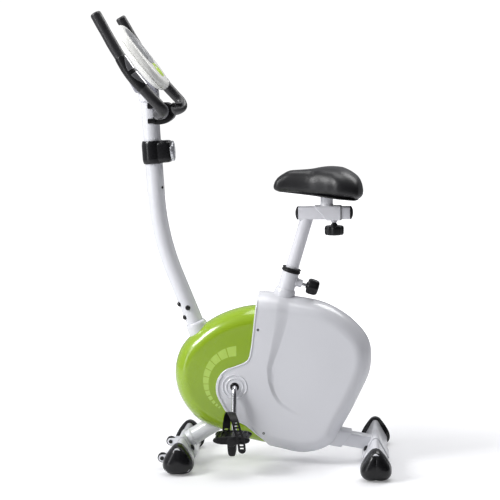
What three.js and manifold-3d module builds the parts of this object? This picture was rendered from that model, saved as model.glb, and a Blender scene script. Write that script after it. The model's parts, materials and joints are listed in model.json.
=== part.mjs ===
// Upright exercise bike with a belt-driven magnetic flywheel, a tilting U handlebar and a
// saddle that slides fore and aft. Millimetres, +Z up. The rider faces -X, so the rear is +X,
// and +Y is the rider's right. The origin is on the floor, under the middle of the bike.
import * as THREE from 'three';
import { mergeVertices } from 'three/addons/utils/BufferGeometryUtils.js';
import Module from 'manifold-3d';

const wasm = await Module();
wasm.setup();

// ---- Driving dimensions: millimetres, and degrees for angles ----
const GAP = 0.3; // between pieces that touch
const SLIDE_GAP = 0.5; // around a tube that slides in another
const TURN_GAP = 0.6; // around a shaft that turns in a bore

const REAR_FOOT_X = 370;
const FRONT_FOOT_X = -195;
const REAR_FOOT_WIDTH = 470;
const FRONT_FOOT_WIDTH = 370;
const FOOT_TUBE_HALF = 36;
const FOOT_TUBE_LOW = 10;
const FOOT_TUBE_TOP = 80;
const FOOT_TUBE_WALL = 2.5;
const FOOT_CAP_LENGTH = 52;
const FOOT_CAP_THICK = 8;
const SADDLE_PLATE = 3;
const SADDLE_PLATE_HALF = 48;
const FOOT_BOLT_Y = 36;
const FOOT_BOLT_R = 4;
const FOOT_BOLT_HEAD = 7;

const LEG_R = 25;
const REAR_LEG_TALL = 42;
const REAR_LEG_WIDE = 36;
const REAR_LEG_FALL = 10.2;
const FRONT_LEG_RISE = 31.5;
const FRAME_NODE = [-42, 150]; // where the legs, the neck and the seat tube meet

const POST_R = 25;
const POST_WALL = 2;
const POST_FOOT = [-146, 393];
const POST_LOWER = 298; // from the foot to where the two straights would meet
const POST_UPPER = 414; // from there to the top
const POST_LEAN_LOW = 21.4;
const POST_LEAN_TOP = 3;
const POST_BEND_R = 740;
const NECK_IN_POST = 85;
const NECK_GAP = 1.1;
const CABLE_EXIT_R = 9;
const COLLAR_R = 31;
const COLLAR_LENGTH = 40;

const SEAT_TUBE_WALL = 2.5;
const SEAT_TOP = [127, 563];
const SEAT_LEAN = 17;
const SEAT_POST_R = 19;
const BUSH_WALL = 2.7;
const SEAT_POST_SHOWN = 160;
const SEAT_POST_HIDDEN = 150;
const SEAT_POST_WALL = 2.5;
const SEAT_DROP = 90; // the furthest that the seat post slides down
const BUSH_OVER = 2; // how far the bush's lip stands past the seat tube
const BUSH_LIP = 14;
const BUSH_DEPTH = 55;
const BOOT_OVER = 6;
const BOOT_TOP = 49; // below the top of the seat tube
const BOOT_LENGTH = 44;
const PIN_DROP = 24; // from the tube's top to the pin
const PIN_R = 5;
const BOSS_R = 12;
const BOSS_OUT = 42;
const PIN_KNOB_R = 27;
const PIN_KNOB_FROM = 58;
const PIN_KNOB_LONG = 34;

const RAIL_HALF = 18.5;
const RAIL_LEAD = 3; // the rail's front end, ahead of the seat post
const RAIL_REAR = 300;
const RAIL_Z = 735;
const RAIL_CAP_BULGE = 9;
const SLEEVE_WALL = 2.5;
const SLEEVE_REAR = 273;
const SLEEVE_TOP_FRONT = 196;
const SLEEVE_LOW_FRONT = 232;
const STEM_X = 233;
const STEM_R = 18;
const SLIDER_KNOB_X = 254;
const SLIDER_KNOB_R = 28;
const SLIDER_KNOB_TALL = 28;

const SADDLE_NOSE = 74;
const SADDLE_TAIL = 342;
const SADDLE_LOW_NOSE = 798;
const SADDLE_LOW_TAIL = 773;
const PAN_THICK = 10;

const CRANK_X = -36;
const CRANK_Z = 237;
const CRANK_LENGTH = 130;
const CRANK_BAR_R = 7.5;
const CRANK_AXLE_R = 10;
const CRANK_CLEAR = 38.5; // from the casing's side to the middle of the arm
const CRANK_EYE_R = 14;
const CRANK_EYE_LONG = 14;
const BB_R = 26;
const BB_HALF = 34;
const BEARING_R = 21;
const BEARING_LONG = 12;
const PULLEY_R = 100;
const PULLEY_Y = 42.5;
const PULLEY_WIDE = 10;
const BELT_THICK = 2.6;
const BELT_WIDE = 8;

const SPINDLE_R = 7;
const PEDAL_CLEAR = 14; // from the middle of the arm to the pedal
const PEDAL_WIDE = 85;
const PEDAL_HALF = 53;
const PEDAL_TOP = 12;
const PEDAL_LOW = -13;
const PEDAL_TAIL = -54;
const STRAP_WIDE = 22;
const STRAP_THICK = 2.4;
const STRAP_TOP = 75;

const FLY_CLEAR = 7.34; // from the seat tube to the flywheel's rim
const FLY_Z = 280;
const FLY_R = 110;
const FLY_WIDE = 22;
const FLY_Y = -14;
const FLY_PULLEY_R = 16;
const FLY_AXLE_R = 7;
const DROPOUT_LEFT = -40;
const DROPOUT_RIGHT = 54;
const DROPOUT_THICK = 4;
const MAGNET_REACH = [30, 90]; // degrees round the flywheel's rim
const MAGNET_PIVOT_AT = 101;
const MAGNET_PIVOT_OVER = 18; // from the flywheel's rim to the pin
const MAGNET_CLEAR = 4;
const MAGNET_PLATE = 3;
const MAGNET_DEEP = 26;
const MAGNET_PIN_R = 4;

const CASING_DEPTH = 62;
const CASING_STEP = 3.5; // how far the rear shells stand proud of the front ones
const CASING_WALL = 3;
const CASING_EDGE = 46;
const CASING_CROWN = 3;
const CASING_LAP = 6;
const CASING_FLANGE = 4;
const CRANK_HOLE_R = 13;
const SHROUD_WALL = 5;

const BAR_R = 12.5;
const BAR_WALL = 1.5;
const GRIP_R = 15.5;
const BAR_FROM_TOP = [40.4, -55.9]; // from the top of the post
const CLAMP_HALF = 26;
const SENSOR_R = 18.5;
const CLAMP_KNOB_R = 8;

const TENSION_DROP = 168.9; // below the top of the post
const TENSION_R = 32;
const TENSION_DEEP = 27;
const DIAL_R = 29;
const DIAL_DEEP = 12;
const BAND_R = 30;
const BAND_TALL = 46;

const CONSOLE_FROM_TOP = [-19.6, 101.1];
const CONSOLE_PITCH = 52.5;
const CONSOLE_HALF_LONG = 112;
const CONSOLE_HALF_WIDE = 94;
const CONSOLE_FACE = 18;
const CONSOLE_BACK = 24;
const CONSOLE_WALL = 3;
const CONSOLE_SEAM = -2;
const WINDOW_AT = -28;
const WINDOW_HALF_LONG = 46;
const WINDOW_HALF_WIDE = 58;
const BUTTON_AT = 62;
const BUTTON_HALF_LONG = 13;
const BUTTON_HALF_WIDE = 20;

const WHEEL_X = -247;
const WHEEL_Z = 34;
const WHEEL_Y = 95;
const WHEEL_R = 14;
const WHEEL_WIDE = 14;
const WHEEL_PIN_R = 4;

// ---- Sizes that follow from the ones above ----
const SEAT_TUBE_R = SEAT_POST_R + SLIDE_GAP + BUSH_WALL + GAP + SEAT_TUBE_WALL;
const BUSH_R = SEAT_TUBE_R + BUSH_OVER;
const BOOT_R = SEAT_TUBE_R + BOOT_OVER;
const seatLean = THREE.MathUtils.degToRad(SEAT_LEAN);
const FLY_X = SEAT_TOP[0] - (SEAT_TOP[1] - FLY_Z) * Math.tan(seatLean) + SEAT_TUBE_R / Math.cos(seatLean)
  + FLY_CLEAR + FLY_R;
const depthRear = CASING_DEPTH + CASING_STEP;
const CRANK_OFFSET = depthRear + CRANK_CLEAR;
const PEDAL_IN = CRANK_OFFSET + PEDAL_CLEAR;
const MAGNET_PIVOT_OUT = FLY_R + MAGNET_PIVOT_OVER;
const SHROUD_IN_X = FLY_X + 38.4; // the shroud's end inside the casing
const RAIL_FRONT = SEAT_TOP[0] + (RAIL_Z - RAIL_HALF - SEAT_TOP[1]) * Math.tan(seatLean)
  - SEAT_POST_R / Math.cos(seatLean) - RAIL_LEAD;

// ---- Shapes and solids ----
const AXIS_X = new THREE.Vector3(1, 0, 0);
const AXIS_Y = new THREE.Vector3(0, 1, 0);
const AXIS_Z = new THREE.Vector3(0, 0, 1);
const radians = THREE.MathUtils.degToRad;
const at = (x, y, z) => new THREE.Vector3(x, y, z);

// Turns faces outward when the signed volume says that they point inward.
function facingOut(geometry) {
  const flat = geometry.index ? geometry.toNonIndexed() : geometry;
  const p = flat.attributes.position;
  const [a, b, c] = [at(0, 0, 0), at(0, 0, 0), at(0, 0, 0)];
  let volume = 0;
  for (let i = 0; i < p.count; i += 3) {
    a.fromBufferAttribute(p, i);
    b.fromBufferAttribute(p, i + 1);
    c.fromBufferAttribute(p, i + 2);
    volume += a.dot(b.cross(c));
  }
  if (volume < 0) {
    for (let i = 0; i < p.count; i += 3) {
      a.fromBufferAttribute(p, i + 1);
      b.fromBufferAttribute(p, i + 2);
      p.setXYZ(i + 1, b.x, b.y, b.z);
      p.setXYZ(i + 2, a.x, a.y, a.z);
    }
  }
  flat.deleteAttribute('normal');
  flat.deleteAttribute('uv');
  return mergeVertices(flat, 1e-3);
}

function solid(geometry) {
  if (!geometry.isBufferGeometry) return geometry;
  const closed = facingOut(geometry);
  return new wasm.Manifold(new wasm.Mesh({
    numProp: 3,
    vertProperties: new Float32Array(closed.attributes.position.array),
    triVerts: new Uint32Array(closed.index.array),
  }));
}

const join = (first, ...rest) => rest.reduce((sum, next) => sum.add(solid(next)), solid(first));
const cut = (first, ...rest) => rest.reduce((sum, next) => sum.subtract(solid(next)), solid(first));
const common = (first, second) => solid(first).intersect(solid(second));

function surface(shape) {
  if (shape.isBufferGeometry) return facingOut(shape);
  const mesh = shape.getMesh();
  const geometry = new THREE.BufferGeometry();
  geometry.setAttribute('position', new THREE.BufferAttribute(new Float32Array(mesh.vertProperties), 3));
  geometry.setIndex(new THREE.BufferAttribute(new Uint32Array(mesh.triVerts), 1));
  return geometry;
}

const moved = (geometry, x, y, z) => geometry.clone().translate(x, y, z);

// A geometry made along +Z, stood at a point and aimed along a direction.
function aimed(geometry, point, direction) {
  const turn = new THREE.Quaternion().setFromUnitVectors(AXIS_Z, direction.clone().normalize());
  return geometry.clone().applyQuaternion(turn).translate(point.x, point.y, point.z);
}

// A round or tapered rod from one point to another.
function rod(from, to, r, sides = 20, rEnd = r) {
  const along = to.clone().sub(from);
  const cylinder = new THREE.CylinderGeometry(rEnd, r, along.length(), sides);
  cylinder.rotateX(Math.PI / 2).translate(0, 0, along.length() / 2);
  return aimed(cylinder, from, along);
}

function box(x0, x1, y0, y1, z0, z1) {
  const geometry = new THREE.BoxGeometry(x1 - x0, y1 - y0, z1 - z0);
  return geometry.translate((x0 + x1) / 2, (y0 + y1) / 2, (z0 + z1) / 2);
}

// A profile of [radius, height] pairs turned about Z.
function turned(profile, sides = 24) {
  const points = profile.map(([r, z]) => new THREE.Vector2(r, z));
  return new THREE.LatheGeometry(points, sides).rotateX(Math.PI / 2);
}

function outlineShape(points, hole = []) {
  const shape = new THREE.Shape(points.map(([x, z]) => new THREE.Vector2(x, z)));
  if (hole.length) shape.holes.push(new THREE.Path(hole.map(([x, z]) => new THREE.Vector2(x, z))));
  return shape;
}

// An outline in the XZ plane, carried along Y from y0 to y1.
function plate(points, y0, y1, hole = []) {
  const depth = y1 - y0;
  const block = new THREE.ExtrudeGeometry(outlineShape(points, hole), { depth, bevelEnabled: false });
  return block.rotateX(Math.PI / 2).translate(0, y1, 0);
}

function circle(r, sides, x = 0, z = 0) {
  return Array.from({ length: sides }, (_, i) => {
    const turn = (2 * Math.PI * i) / sides;
    return [x + r * Math.cos(turn), z + r * Math.sin(turn)];
  });
}

// A path through given points whose sections all keep one direction across the tube.
class Run extends THREE.Curve {
  constructor(points, across) {
    super();
    this.points = points;
    this.across = across;
  }

  getSpacedPoints() {
    return this.points;
  }

  computeFrenetFrames() {
    const last = this.points.length - 1;
    const tangents = this.points.map((_, i) => (
      this.points[Math.min(i + 1, last)].clone().sub(this.points[Math.max(i - 1, 0)]).normalize()));
    const normals = tangents.map((t) => this.across.clone().addScaledVector(t,
      -this.across.dot(t)).normalize());
    const binormals = tangents.map((t, i) => t.clone().cross(normals[i]));
    return { tangents, normals, binormals };
  }
}

// A round tube through given points, hollow when it is given an inner radius.
function tubeThrough(points, across, r, inner = 0, sides = 12) {
  const shape = outlineShape(circle(r, sides), inner ? circle(inner, sides) : []);
  const run = { steps: points.length - 1, extrudePath: new Run(points, across), bevelEnabled: false };
  return new THREE.ExtrudeGeometry(shape, run);
}

// A closed skin over rings of points, with a fan of faces over each end.
function skin(rings) {
  const count = rings[0].length;
  const points = rings.flat();
  const faces = [];
  for (let i = 0; i + 1 < rings.length; i++) {
    for (let j = 0; j < count; j++) {
      const here = i * count + j;
      const next = i * count + ((j + 1) % count);
      faces.push(here, next, next + count, here, next + count, here + count);
    }
  }
  const ends = [[rings[0], 0, true], [rings.at(-1), points.length - count, false]];
  for (const [ring, start, first] of ends) {
    const middle = ring.reduce((sum, p) => sum.add(p), at(0, 0, 0)).divideScalar(count);
    const centre = points.push(middle) - 1;
    for (let j = 0; j < count; j++) {
      const here = start + j;
      const next = start + ((j + 1) % count);
      faces.push(...(first ? [next, here, centre] : [here, next, centre]));
    }
  }
  const geometry = new THREE.BufferGeometry().setFromPoints(points);
  geometry.setIndex(faces);
  return geometry;
}

const smooth = (points, closed = false) => new THREE.CatmullRomCurve3(points, closed, 'centripetal');

function smoothOutline(points, count) {
  const curve = smooth(points.map(([x, z]) => at(x, 0, z)), true);
  return curve.getSpacedPoints(count).slice(0, count).map((p) => [p.x, p.z]);
}

// ---- The scene graph ----
const bike = new THREE.Group();

function paint(color, roughness, metalness = 0) {
  return new THREE.MeshStandardMaterial({ color, roughness, metalness });
}

const finishes = {
  whitePaint: paint(0xf0f1f3, 0.3),
  whiteShell: paint(0xeceef1, 0.25),
  greenShell: paint(0x93b80f, 0.25),
  blackPlastic: paint(0x111214, 0.45),
  foam: paint(0x17171a, 0.75),
  vinyl: paint(0x0d0d0f, 0.35),
  chrome: paint(0xd8dadd, 0.12, 1),
  steel: paint(0x9a9da1, 0.35, 1),
  castIron: paint(0x4a4c50, 0.6, 1),
  rubber: paint(0x161616, 0.85),
  silver: paint(0xb9bcc0, 0.35, 0.6),
  lens: paint(0x9aa39a, 0.15),
  limeButton: paint(0xd2ee4a, 0.4),
};

function addPart(name, shape, finish, parent = bike) {
  const mesh = new THREE.Mesh(surface(shape), finishes[finish]);
  mesh.name = name;
  parent.add(mesh);
  return mesh;
}

// Puts a part that was made along +Z at a point, aimed along a direction.
function stand(mesh, point, direction) {
  mesh.position.copy(point);
  mesh.quaternion.setFromUnitVectors(AXIS_Z, direction.clone().normalize());
  return mesh;
}

const sides = [['left', -1], ['right', 1]];

// ---- Feet: two pressed tubes of tent section, each with a moulded cap at both ends ----
function tent(grow) {
  const half = FOOT_TUBE_HALF + grow;
  const low = FOOT_TUBE_LOW - grow;
  const top = FOOT_TUBE_TOP + grow;
  return [[-half + 7, low], [half - 7, low], [half, low + 8], [half - 1, low + 18],
    [9 + grow / 2, top - 5], [4, top], [-4, top], [-9 - grow / 2, top - 5], [-half + 1, low + 18],
    [-half, low + 8]];
}

// The cap's teardrop, wide and round low down and narrow at the ridge.
function teardrop(x, y, shrink) {
  const ridge = FOOT_TUBE_TOP + FOOT_CAP_THICK;
  const widest = FOOT_TUBE_HALF + FOOT_CAP_THICK;
  const right = [[0, 0], [0.45, 0], [0.8, 7], [0.97, 17], [1, 27], [0.9, 40], [0.66, 57], [0.38, 75],
    [0.2, ridge - 3]];
  const left = right.slice(1).map(([w, z]) => [-w, z]).reverse();
  const lift = ridge / 3;
  return [...right, [0, ridge], ...left].map(([w, z]) => (
    at(x + w * widest * shrink, y, lift + (z - lift) * shrink)));
}

function footCap(x, half, side) {
  const inner = half - FOOT_CAP_LENGTH;
  const stations = [[inner, 1], [inner + 30, 1], [half - 8, 0.93], [half, 0.72]];
  const outer = skin(stations.map(([y, shrink]) => teardrop(x, side * y, shrink)));
  const socket = plate(tent(GAP), 0, FOOT_CAP_LENGTH - 12);
  const y = side > 0 ? inner - 1 : -inner + 1 - (FOOT_CAP_LENGTH - 12);
  return cut(outer, moved(socket, x, y, 0));
}

// The welded V plate that sits over a foot tube, under a leg.
function saddlePlate(x) {
  const over = plate(tent(GAP + SADDLE_PLATE), -SADDLE_PLATE_HALF, SADDLE_PLATE_HALF);
  const under = plate(tent(GAP), -SADDLE_PLATE_HALF - 1, SADDLE_PLATE_HALF + 1);
  const open = box(-100, 100, -100, 100, -50, FOOT_TUBE_LOW + 12);
  return moved(surface(cut(over, under, open)), x, 0, 0);
}

const bracketInner = WHEEL_WIDE / 2 + 1.5;
const bracketOuter = bracketInner + 3;

function wheelBracket(side) {
  const reach = FRONT_FOOT_X - FOOT_TUBE_HALF + 12;
  const arm = circle(10, 20, WHEEL_X, WHEEL_Z);
  const tongue = [[WHEEL_X, WHEEL_Z - 10], [reach, WHEEL_Z - 14], [reach + 6, WHEEL_Z + 10],
    [WHEEL_X, WHEEL_Z + 10]];
  const cheek = (low) => join(plate(arm, low, low + 3), plate(tongue, low, low + 3));
  const pin = rod(at(WHEEL_X, -bracketOuter + 0.5, WHEEL_Z), at(WHEEL_X, bracketOuter - 0.5, WHEEL_Z),
    WHEEL_PIN_R, 12);
  return surface(join(cheek(-bracketOuter), cheek(bracketInner), pin)).translate(0, side * WHEEL_Y, 0);
}

// The foot bolts go in square to the sloping wall of the tube, on the side towards the crank.
const boltPlaces = [['front', FRONT_FOOT_X, 1], ['rear', REAR_FOOT_X, -1]].flatMap(([end, x, inward]) => (
  sides.map(([name, side]) => [
    `foot_bolt_${end}_${name}`,
    at(x + inward * 22, side * FOOT_BOLT_Y, (FOOT_TUBE_LOW + 18 + FOOT_TUBE_TOP - 5) / 2),
    at(inward * 47, 0, 26).normalize()])));
const boltHoles = boltPlaces.map(([, wall, out]) => (
  rod(wall.clone().addScaledVector(out, -8), wall.clone().addScaledVector(out, 12), FOOT_BOLT_R + GAP,
  12)));

for (const [end, x, width] of [['front', FRONT_FOOT_X, FRONT_FOOT_WIDTH],
  ['rear', REAR_FOOT_X, REAR_FOOT_WIDTH]]) {
  const half = width / 2;
  const reach = half - 14;
  const tube = moved(plate(tent(0), -reach, reach), x, 0, 0);
  const hollow = moved(plate(tent(-FOOT_TUBE_WALL), -reach - 1, reach + 1), x, 0, 0);
  const brackets = end === 'front' ? sides.map(([, side]) => wheelBracket(side)) : [];
  addPart(`${end}_stabiliser`, cut(join(tube, ...brackets), hollow, ...boltHoles), 'whitePaint');
  for (const [name, side] of sides) {
    addPart(`foot_cap_${end}_${name}`, footCap(x, half, side), 'blackPlastic');
  }
}

const wheel = turned([
  [WHEEL_PIN_R + TURN_GAP, -WHEEL_WIDE / 2], [WHEEL_R - 3, -WHEEL_WIDE / 2], [WHEEL_R, -WHEEL_WIDE / 2 + 3],
  [WHEEL_R, WHEEL_WIDE / 2 - 3], [WHEEL_R - 3, WHEEL_WIDE / 2], [WHEEL_PIN_R + TURN_GAP, WHEEL_WIDE / 2],
  [WHEEL_PIN_R + TURN_GAP, -WHEEL_WIDE / 2]], 18);
for (const [name, side] of sides) {
  stand(addPart(`transport_wheel_${name}`, wheel, 'rubber'), at(WHEEL_X, side * WHEEL_Y, WHEEL_Z), AXIS_Y);
}

// ---- Lines that the frame and the covers share ----
const lowLean = radians(POST_LEAN_LOW);
const topLean = radians(POST_LEAN_TOP);
const postUp = at(-Math.sin(lowLean), 0, Math.cos(lowLean));
const postUpTop = at(-Math.sin(topLean), 0, Math.cos(topLean));
const postFoot = at(POST_FOOT[0], 0, POST_FOOT[1]);
const postKnee = postFoot.clone().addScaledVector(postUp, POST_LOWER);
const postTop = postKnee.clone().addScaledVector(postUpTop, POST_UPPER);
const alongPost = (s) => postFoot.clone().addScaledVector(postUp, s);
const downFromTop = (s) => postTop.clone().addScaledVector(postUpTop, -s);

const seatUp = at(Math.sin(seatLean), 0, Math.cos(seatLean));
const seatBack = at(Math.cos(seatLean), 0, -Math.sin(seatLean));
const seatTop = at(SEAT_TOP[0], 0, SEAT_TOP[1]);
const alongSeat = (s) => seatTop.clone().addScaledVector(seatUp, s);
const pinAt = (out) => alongSeat(-PIN_DROP).addScaledVector(seatBack, out);

const frameNode = at(FRAME_NODE[0], 0, FRAME_NODE[1]);
const frontRise = radians(FRONT_LEG_RISE);
const frontLegX = FRONT_FOOT_X + 15;
const frontLegEnd = at(frontLegX, 0, FRAME_NODE[1] - (FRAME_NODE[0] - frontLegX) * Math.tan(frontRise));
const rearFall = radians(REAR_LEG_FALL);
const rearLegEnd = at(REAR_FOOT_X, 0, FOOT_TUBE_LOW + 45);
const alongRearLeg = (x) => (REAR_FOOT_X - x) / Math.cos(rearFall);
const rearLegLength = alongRearLeg(FRAME_NODE[0]) + 1.4;

// A rectangular bar along the rear leg, from one distance to another back from its foot end.
function rearLegBar(from, to, wide, tall) {
  const bar = box(-to, -from, -wide / 2, wide / 2, -tall / 2, tall / 2);
  return bar.rotateY(rearFall).translate(rearLegEnd.x, 0, rearLegEnd.z);
}

// ---- Main frame: one weldment of legs, neck, seat tube, crank shell and flywheel plates ----
function flywheelPlate(y) {
  const foot = 106;
  const outline = [[FLY_X - 38, foot - 14], [FLY_X + 20, foot - 22], [FLY_X + 13, FLY_Z + 4],
    [FLY_X + 6, FLY_Z + 14],
    [FLY_X - 6, FLY_Z + 14], [FLY_X - 13, FLY_Z + 4]];
  const sheet = plate(outline, y - DROPOUT_THICK / 2, y + DROPOUT_THICK / 2);
  const edge = y - Math.sign(y) * DROPOUT_THICK / 2;
  const low = Math.min(0, edge);
  const high = Math.max(0, edge);
  const shelf = [[FLY_X - 34, foot - 8], [FLY_X - 34, foot - 18], [FLY_X + 18, foot - 26],
    [FLY_X + 18, foot - 16]];
  const axle = rod(at(FLY_X, y - 10, FLY_Z), at(FLY_X, y + 10, FLY_Z), FLY_AXLE_R + GAP, 20);
  return cut(join(sheet, plate(shelf, low - (low ? 1 : 0), high + (high ? 1 : 0))), axle);
}

const magnetPivot = at(
  FLY_X + MAGNET_PIVOT_OUT * Math.cos(radians(MAGNET_PIVOT_AT)), FLY_Y,
  FLY_Z + MAGNET_PIVOT_OUT * Math.sin(radians(MAGNET_PIVOT_AT)));
const magnetHalf = FLY_WIDE / 2 + MAGNET_CLEAR + MAGNET_PLATE;

function magnetArm() {
  const reach = magnetHalf + 4;
  const pin = rod(magnetPivot.clone().setY(FLY_Y - reach), magnetPivot.clone().setY(FLY_Y + reach),
    MAGNET_PIN_R, 16);
  const seatX = seatTop.x - (seatTop.z - magnetPivot.z) * Math.tan(seatLean);
  const arm = box(seatX + 4, magnetPivot.x + 6, FLY_Y - 8, FLY_Y + 8, magnetPivot.z - 6, magnetPivot.z + 6);
  return join(arm, pin);
}

function mainFrame() {
  const frontLeg = rod(frontLegEnd, frameNode, LEG_R, 20);
  const rearLeg = rearLegBar(0, rearLegLength, REAR_LEG_WIDE, REAR_LEG_TALL);
  const neckR = POST_R - POST_WALL - NECK_GAP;
  const neck = rod(alongPost(-262), alongPost(NECK_IN_POST), neckR, 12);
  const neckBore = rod(alongPost(-70), alongPost(NECK_IN_POST + 1), neckR - 3, 12);
  const cableExit = rod(alongPost(-50), alongPost(-50).add(at(60, 0, 0)), CABLE_EXIT_R, 12);
  const seatTube = rod(alongSeat(-440), alongSeat(0), SEAT_TUBE_R, 20);
  const seatBore = rod(alongSeat(-SEAT_POST_HIDDEN - SEAT_DROP - 12), alongSeat(1),
    SEAT_TUBE_R - SEAT_TUBE_WALL, 24);
  const boss = rod(pinAt(SEAT_TUBE_R - 2), pinAt(BOSS_OUT), BOSS_R, 16);
  const pinHole = rod(pinAt(8), pinAt(BOSS_OUT + 1), PIN_R + SLIDE_GAP, 12);
  const crank = (y) => at(CRANK_X, y, CRANK_Z);
  const shell = rod(crank(-BB_HALF), crank(BB_HALF), BB_R, 24);
  const shellBore = rod(crank(-BB_HALF - 1), crank(BB_HALF + 1), BEARING_R + GAP, 24);
  const web = plate([[CRANK_X - 40, CRANK_Z - 10], [CRANK_X - 10, CRANK_Z - 60],
    [CRANK_X + 20, CRANK_Z - 60],
    [CRANK_X + 55, CRANK_Z + 10], [CRANK_X + 20, CRANK_Z + 6], [CRANK_X - 20, CRANK_Z + 2]], -8, 8);
  const skirt = [FRONT_FOOT_X, REAR_FOOT_X].map(saddlePlate);
  const footRoom = [FRONT_FOOT_X, REAR_FOOT_X].map((x) => (
    moved(plate(tent(GAP), -SADDLE_PLATE_HALF - 5, SADDLE_PLATE_HALF + 5), x, 0, 0)));
  const body = join(frontLeg, rearLeg, neck, seatTube, boss, shell, web, magnetArm(), ...skirt,
    flywheelPlate(DROPOUT_LEFT), flywheelPlate(DROPOUT_RIGHT));
  return cut(body, neckBore, cableExit, seatBore, pinHole, shellBore, ...footRoom, ...boltHoles);
}
addPart('main_frame', mainFrame(), 'whitePaint');

// A bolt with a domed head, seated on the saddle plate.
const boltSeat = SADDLE_PLATE + 2 * GAP;
const footBolt = turned([[0, -7], [FOOT_BOLT_R, -7], [FOOT_BOLT_R, boltSeat], [FOOT_BOLT_HEAD, boltSeat],
  [FOOT_BOLT_HEAD, boltSeat + 3], [FOOT_BOLT_HEAD - 3, boltSeat + 6], [0, boltSeat + 6]], 10);
for (const [name, wall, out] of boltPlaces) stand(addPart(name, footBolt, 'blackPlastic'), wall, out);

// ---- Casing: white rear shells over green front ones, in left and right halves ----
const FRONT_OUTLINE = [[19, 466], [-76, 441], [-147, 396], [-198, 340], [-216, 273], [-202, 198],
  [-152, 130],
  [-83, 97], [8, 67], [90, 56], [180, 84], [250, 170], [262, 290], [200, 400], [110, 455]];
const REAR_OUTLINE = [[30, 505], [143, 492], [230, 472], [307, 423], [353, 361], [356, 282], [322, 199],
  [280, 120], [240, 55], [164, 30], [83, 44], [0, 66], [-84, 93], [-156, 127], [-206, 196], [-220, 273],
  [-202, 343], [-150, 401], [-75, 462]];
const EDGE_LINE = [[36, 540], [32, 505], [24, 442], [18, 393], [12, 348], [2, 316], [-34, 298],
  [-63, 287], [-81, 268],
  [-90, 244], [-89, 215], [-79, 191], [-65, 166], [-49, 144], [-4, 120], [24, 95], [50, 70], [70, 30]];
const FAR = 450;
const PILLOW_POINTS = 30;

// One half of a full, round-edged pillow: rings that start on the outline and close in on its middle.
function pillow(points, inset, depth, start, side) {
  const outline = smoothOutline(points, PILLOW_POINTS);
  const middle = outline.reduce(([x, z], p) => [x + p[0] / PILLOW_POINTS, z + p[1] / PILLOW_POINTS],
    [0, 0]);
  const ring = (shrink, y) => outline.map(([x, z]) => {
    const reach = Math.hypot(x - middle[0], z - middle[1]);
    const keep = 1 - Math.min(shrink + inset, reach * 0.98) / reach;
    return at(middle[0] + (x - middle[0]) * keep, side * y, middle[1] + (z - middle[1]) * keep);
  });
  const round = [0, 0.35, 0.68, 1].map((share) => {
    const turn = (share * Math.PI) / 2;
    return ring(CASING_EDGE * (1 - Math.cos(turn)), Math.max(depth * Math.sin(turn), start));
  });
  return skin([...round, ring(CASING_EDGE + 60, depth + CASING_CROWN * 0.75),
    ring(400, depth + CASING_CROWN)]);
}

// The line where the rear shells end, moved rearwards by a distance square to itself.
function edgeLine(back) {
  const curve = smooth(EDGE_LINE.map(([x, z]) => at(x, 0, z)));
  return Array.from({ length: 25 }, (_, i) => {
    const point = curve.getPointAt(i / 24);
    const along = curve.getTangentAt(i / 24);
    return [point.x - along.z * back, point.z + along.x * back];
  });
}

const behind = (back) => plate([...edgeLine(back), [FAR, 20], [FAR, 540]], -FAR, FAR);
const ahead = (back) => plate([...edgeLine(back), [-FAR, 20], [-FAR, 540]], -FAR, FAR);

const shroudRoom = SHROUD_WALL + SLIDE_GAP + GAP;
const casingHoles = join(
  rod(alongPost(-70), alongPost(70), COLLAR_R + SLIDE_GAP, 24),
  rod(alongSeat(-130), alongSeat(0), BOOT_R + SLIDE_GAP, 24),
  rod(at(-240, 0, frontLegEnd.z - 60 * Math.tan(frontRise)), frameNode, LEG_R + 1, 20),
  rearLegBar(20, alongRearLeg(SHROUD_IN_X - 38), REAR_LEG_WIDE + 2 * shroudRoom,
    REAR_LEG_TALL + 2 * shroudRoom),
  rod(at(CRANK_X, -90, CRANK_Z), at(CRANK_X, 90, CRANK_Z), CRANK_HOLE_R, 24),
);
const seam = GAP / 2;

for (const [name, side] of sides) {
  const frontOuter = pillow(FRONT_OUTLINE, 0, CASING_DEPTH, seam, side);
  const frontInner = pillow(FRONT_OUTLINE, CASING_WALL, CASING_DEPTH - CASING_WALL, -1, side);
  const front = common(cut(frontOuter, frontInner), ahead(CASING_LAP));
  addPart(`front_casing_${name}`, cut(front, casingHoles), 'greenShell');

  const rearOuter = common(pillow(REAR_OUTLINE, 0, depthRear, seam, side), behind(0));
  const rearInner = common(pillow(REAR_OUTLINE, CASING_WALL, depthRear - CASING_WALL, -1, side),
    behind(CASING_FLANGE));
  const lap = common(pillow(FRONT_OUTLINE, -GAP, CASING_DEPTH + GAP, -1, side), ahead(CASING_LAP + GAP));
  addPart(`rear_casing_${name}`, cut(rearOuter, rearInner, lap, casingHoles), 'whiteShell');
}

// ---- Trim rings where tubes enter the casing ----
const boot = turned([[SEAT_TUBE_R + SLIDE_GAP, -BOOT_LENGTH], [BOOT_R, -BOOT_LENGTH], [BOOT_R, -13],
  [BOOT_R - 1.5, -6],
  [SEAT_TUBE_R + 2.5, 0], [SEAT_TUBE_R + SLIDE_GAP, 0], [SEAT_TUBE_R + SLIDE_GAP, -BOOT_LENGTH]]);
stand(addPart('seat_tube_boot', boot, 'whiteShell'), alongSeat(-BOOT_TOP), seatUp);

const collarIn = POST_R + SLIDE_GAP;
const collar = turned([[collarIn, -COLLAR_LENGTH / 2], [COLLAR_R, -COLLAR_LENGTH / 2],
  [COLLAR_R, COLLAR_LENGTH / 2 - 6],
  [COLLAR_R - 3, COLLAR_LENGTH / 2], [collarIn, COLLAR_LENGTH / 2], [collarIn, -COLLAR_LENGTH / 2]]);
stand(addPart('post_collar', collar, 'whiteShell'), alongPost(6), postUp);

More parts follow.
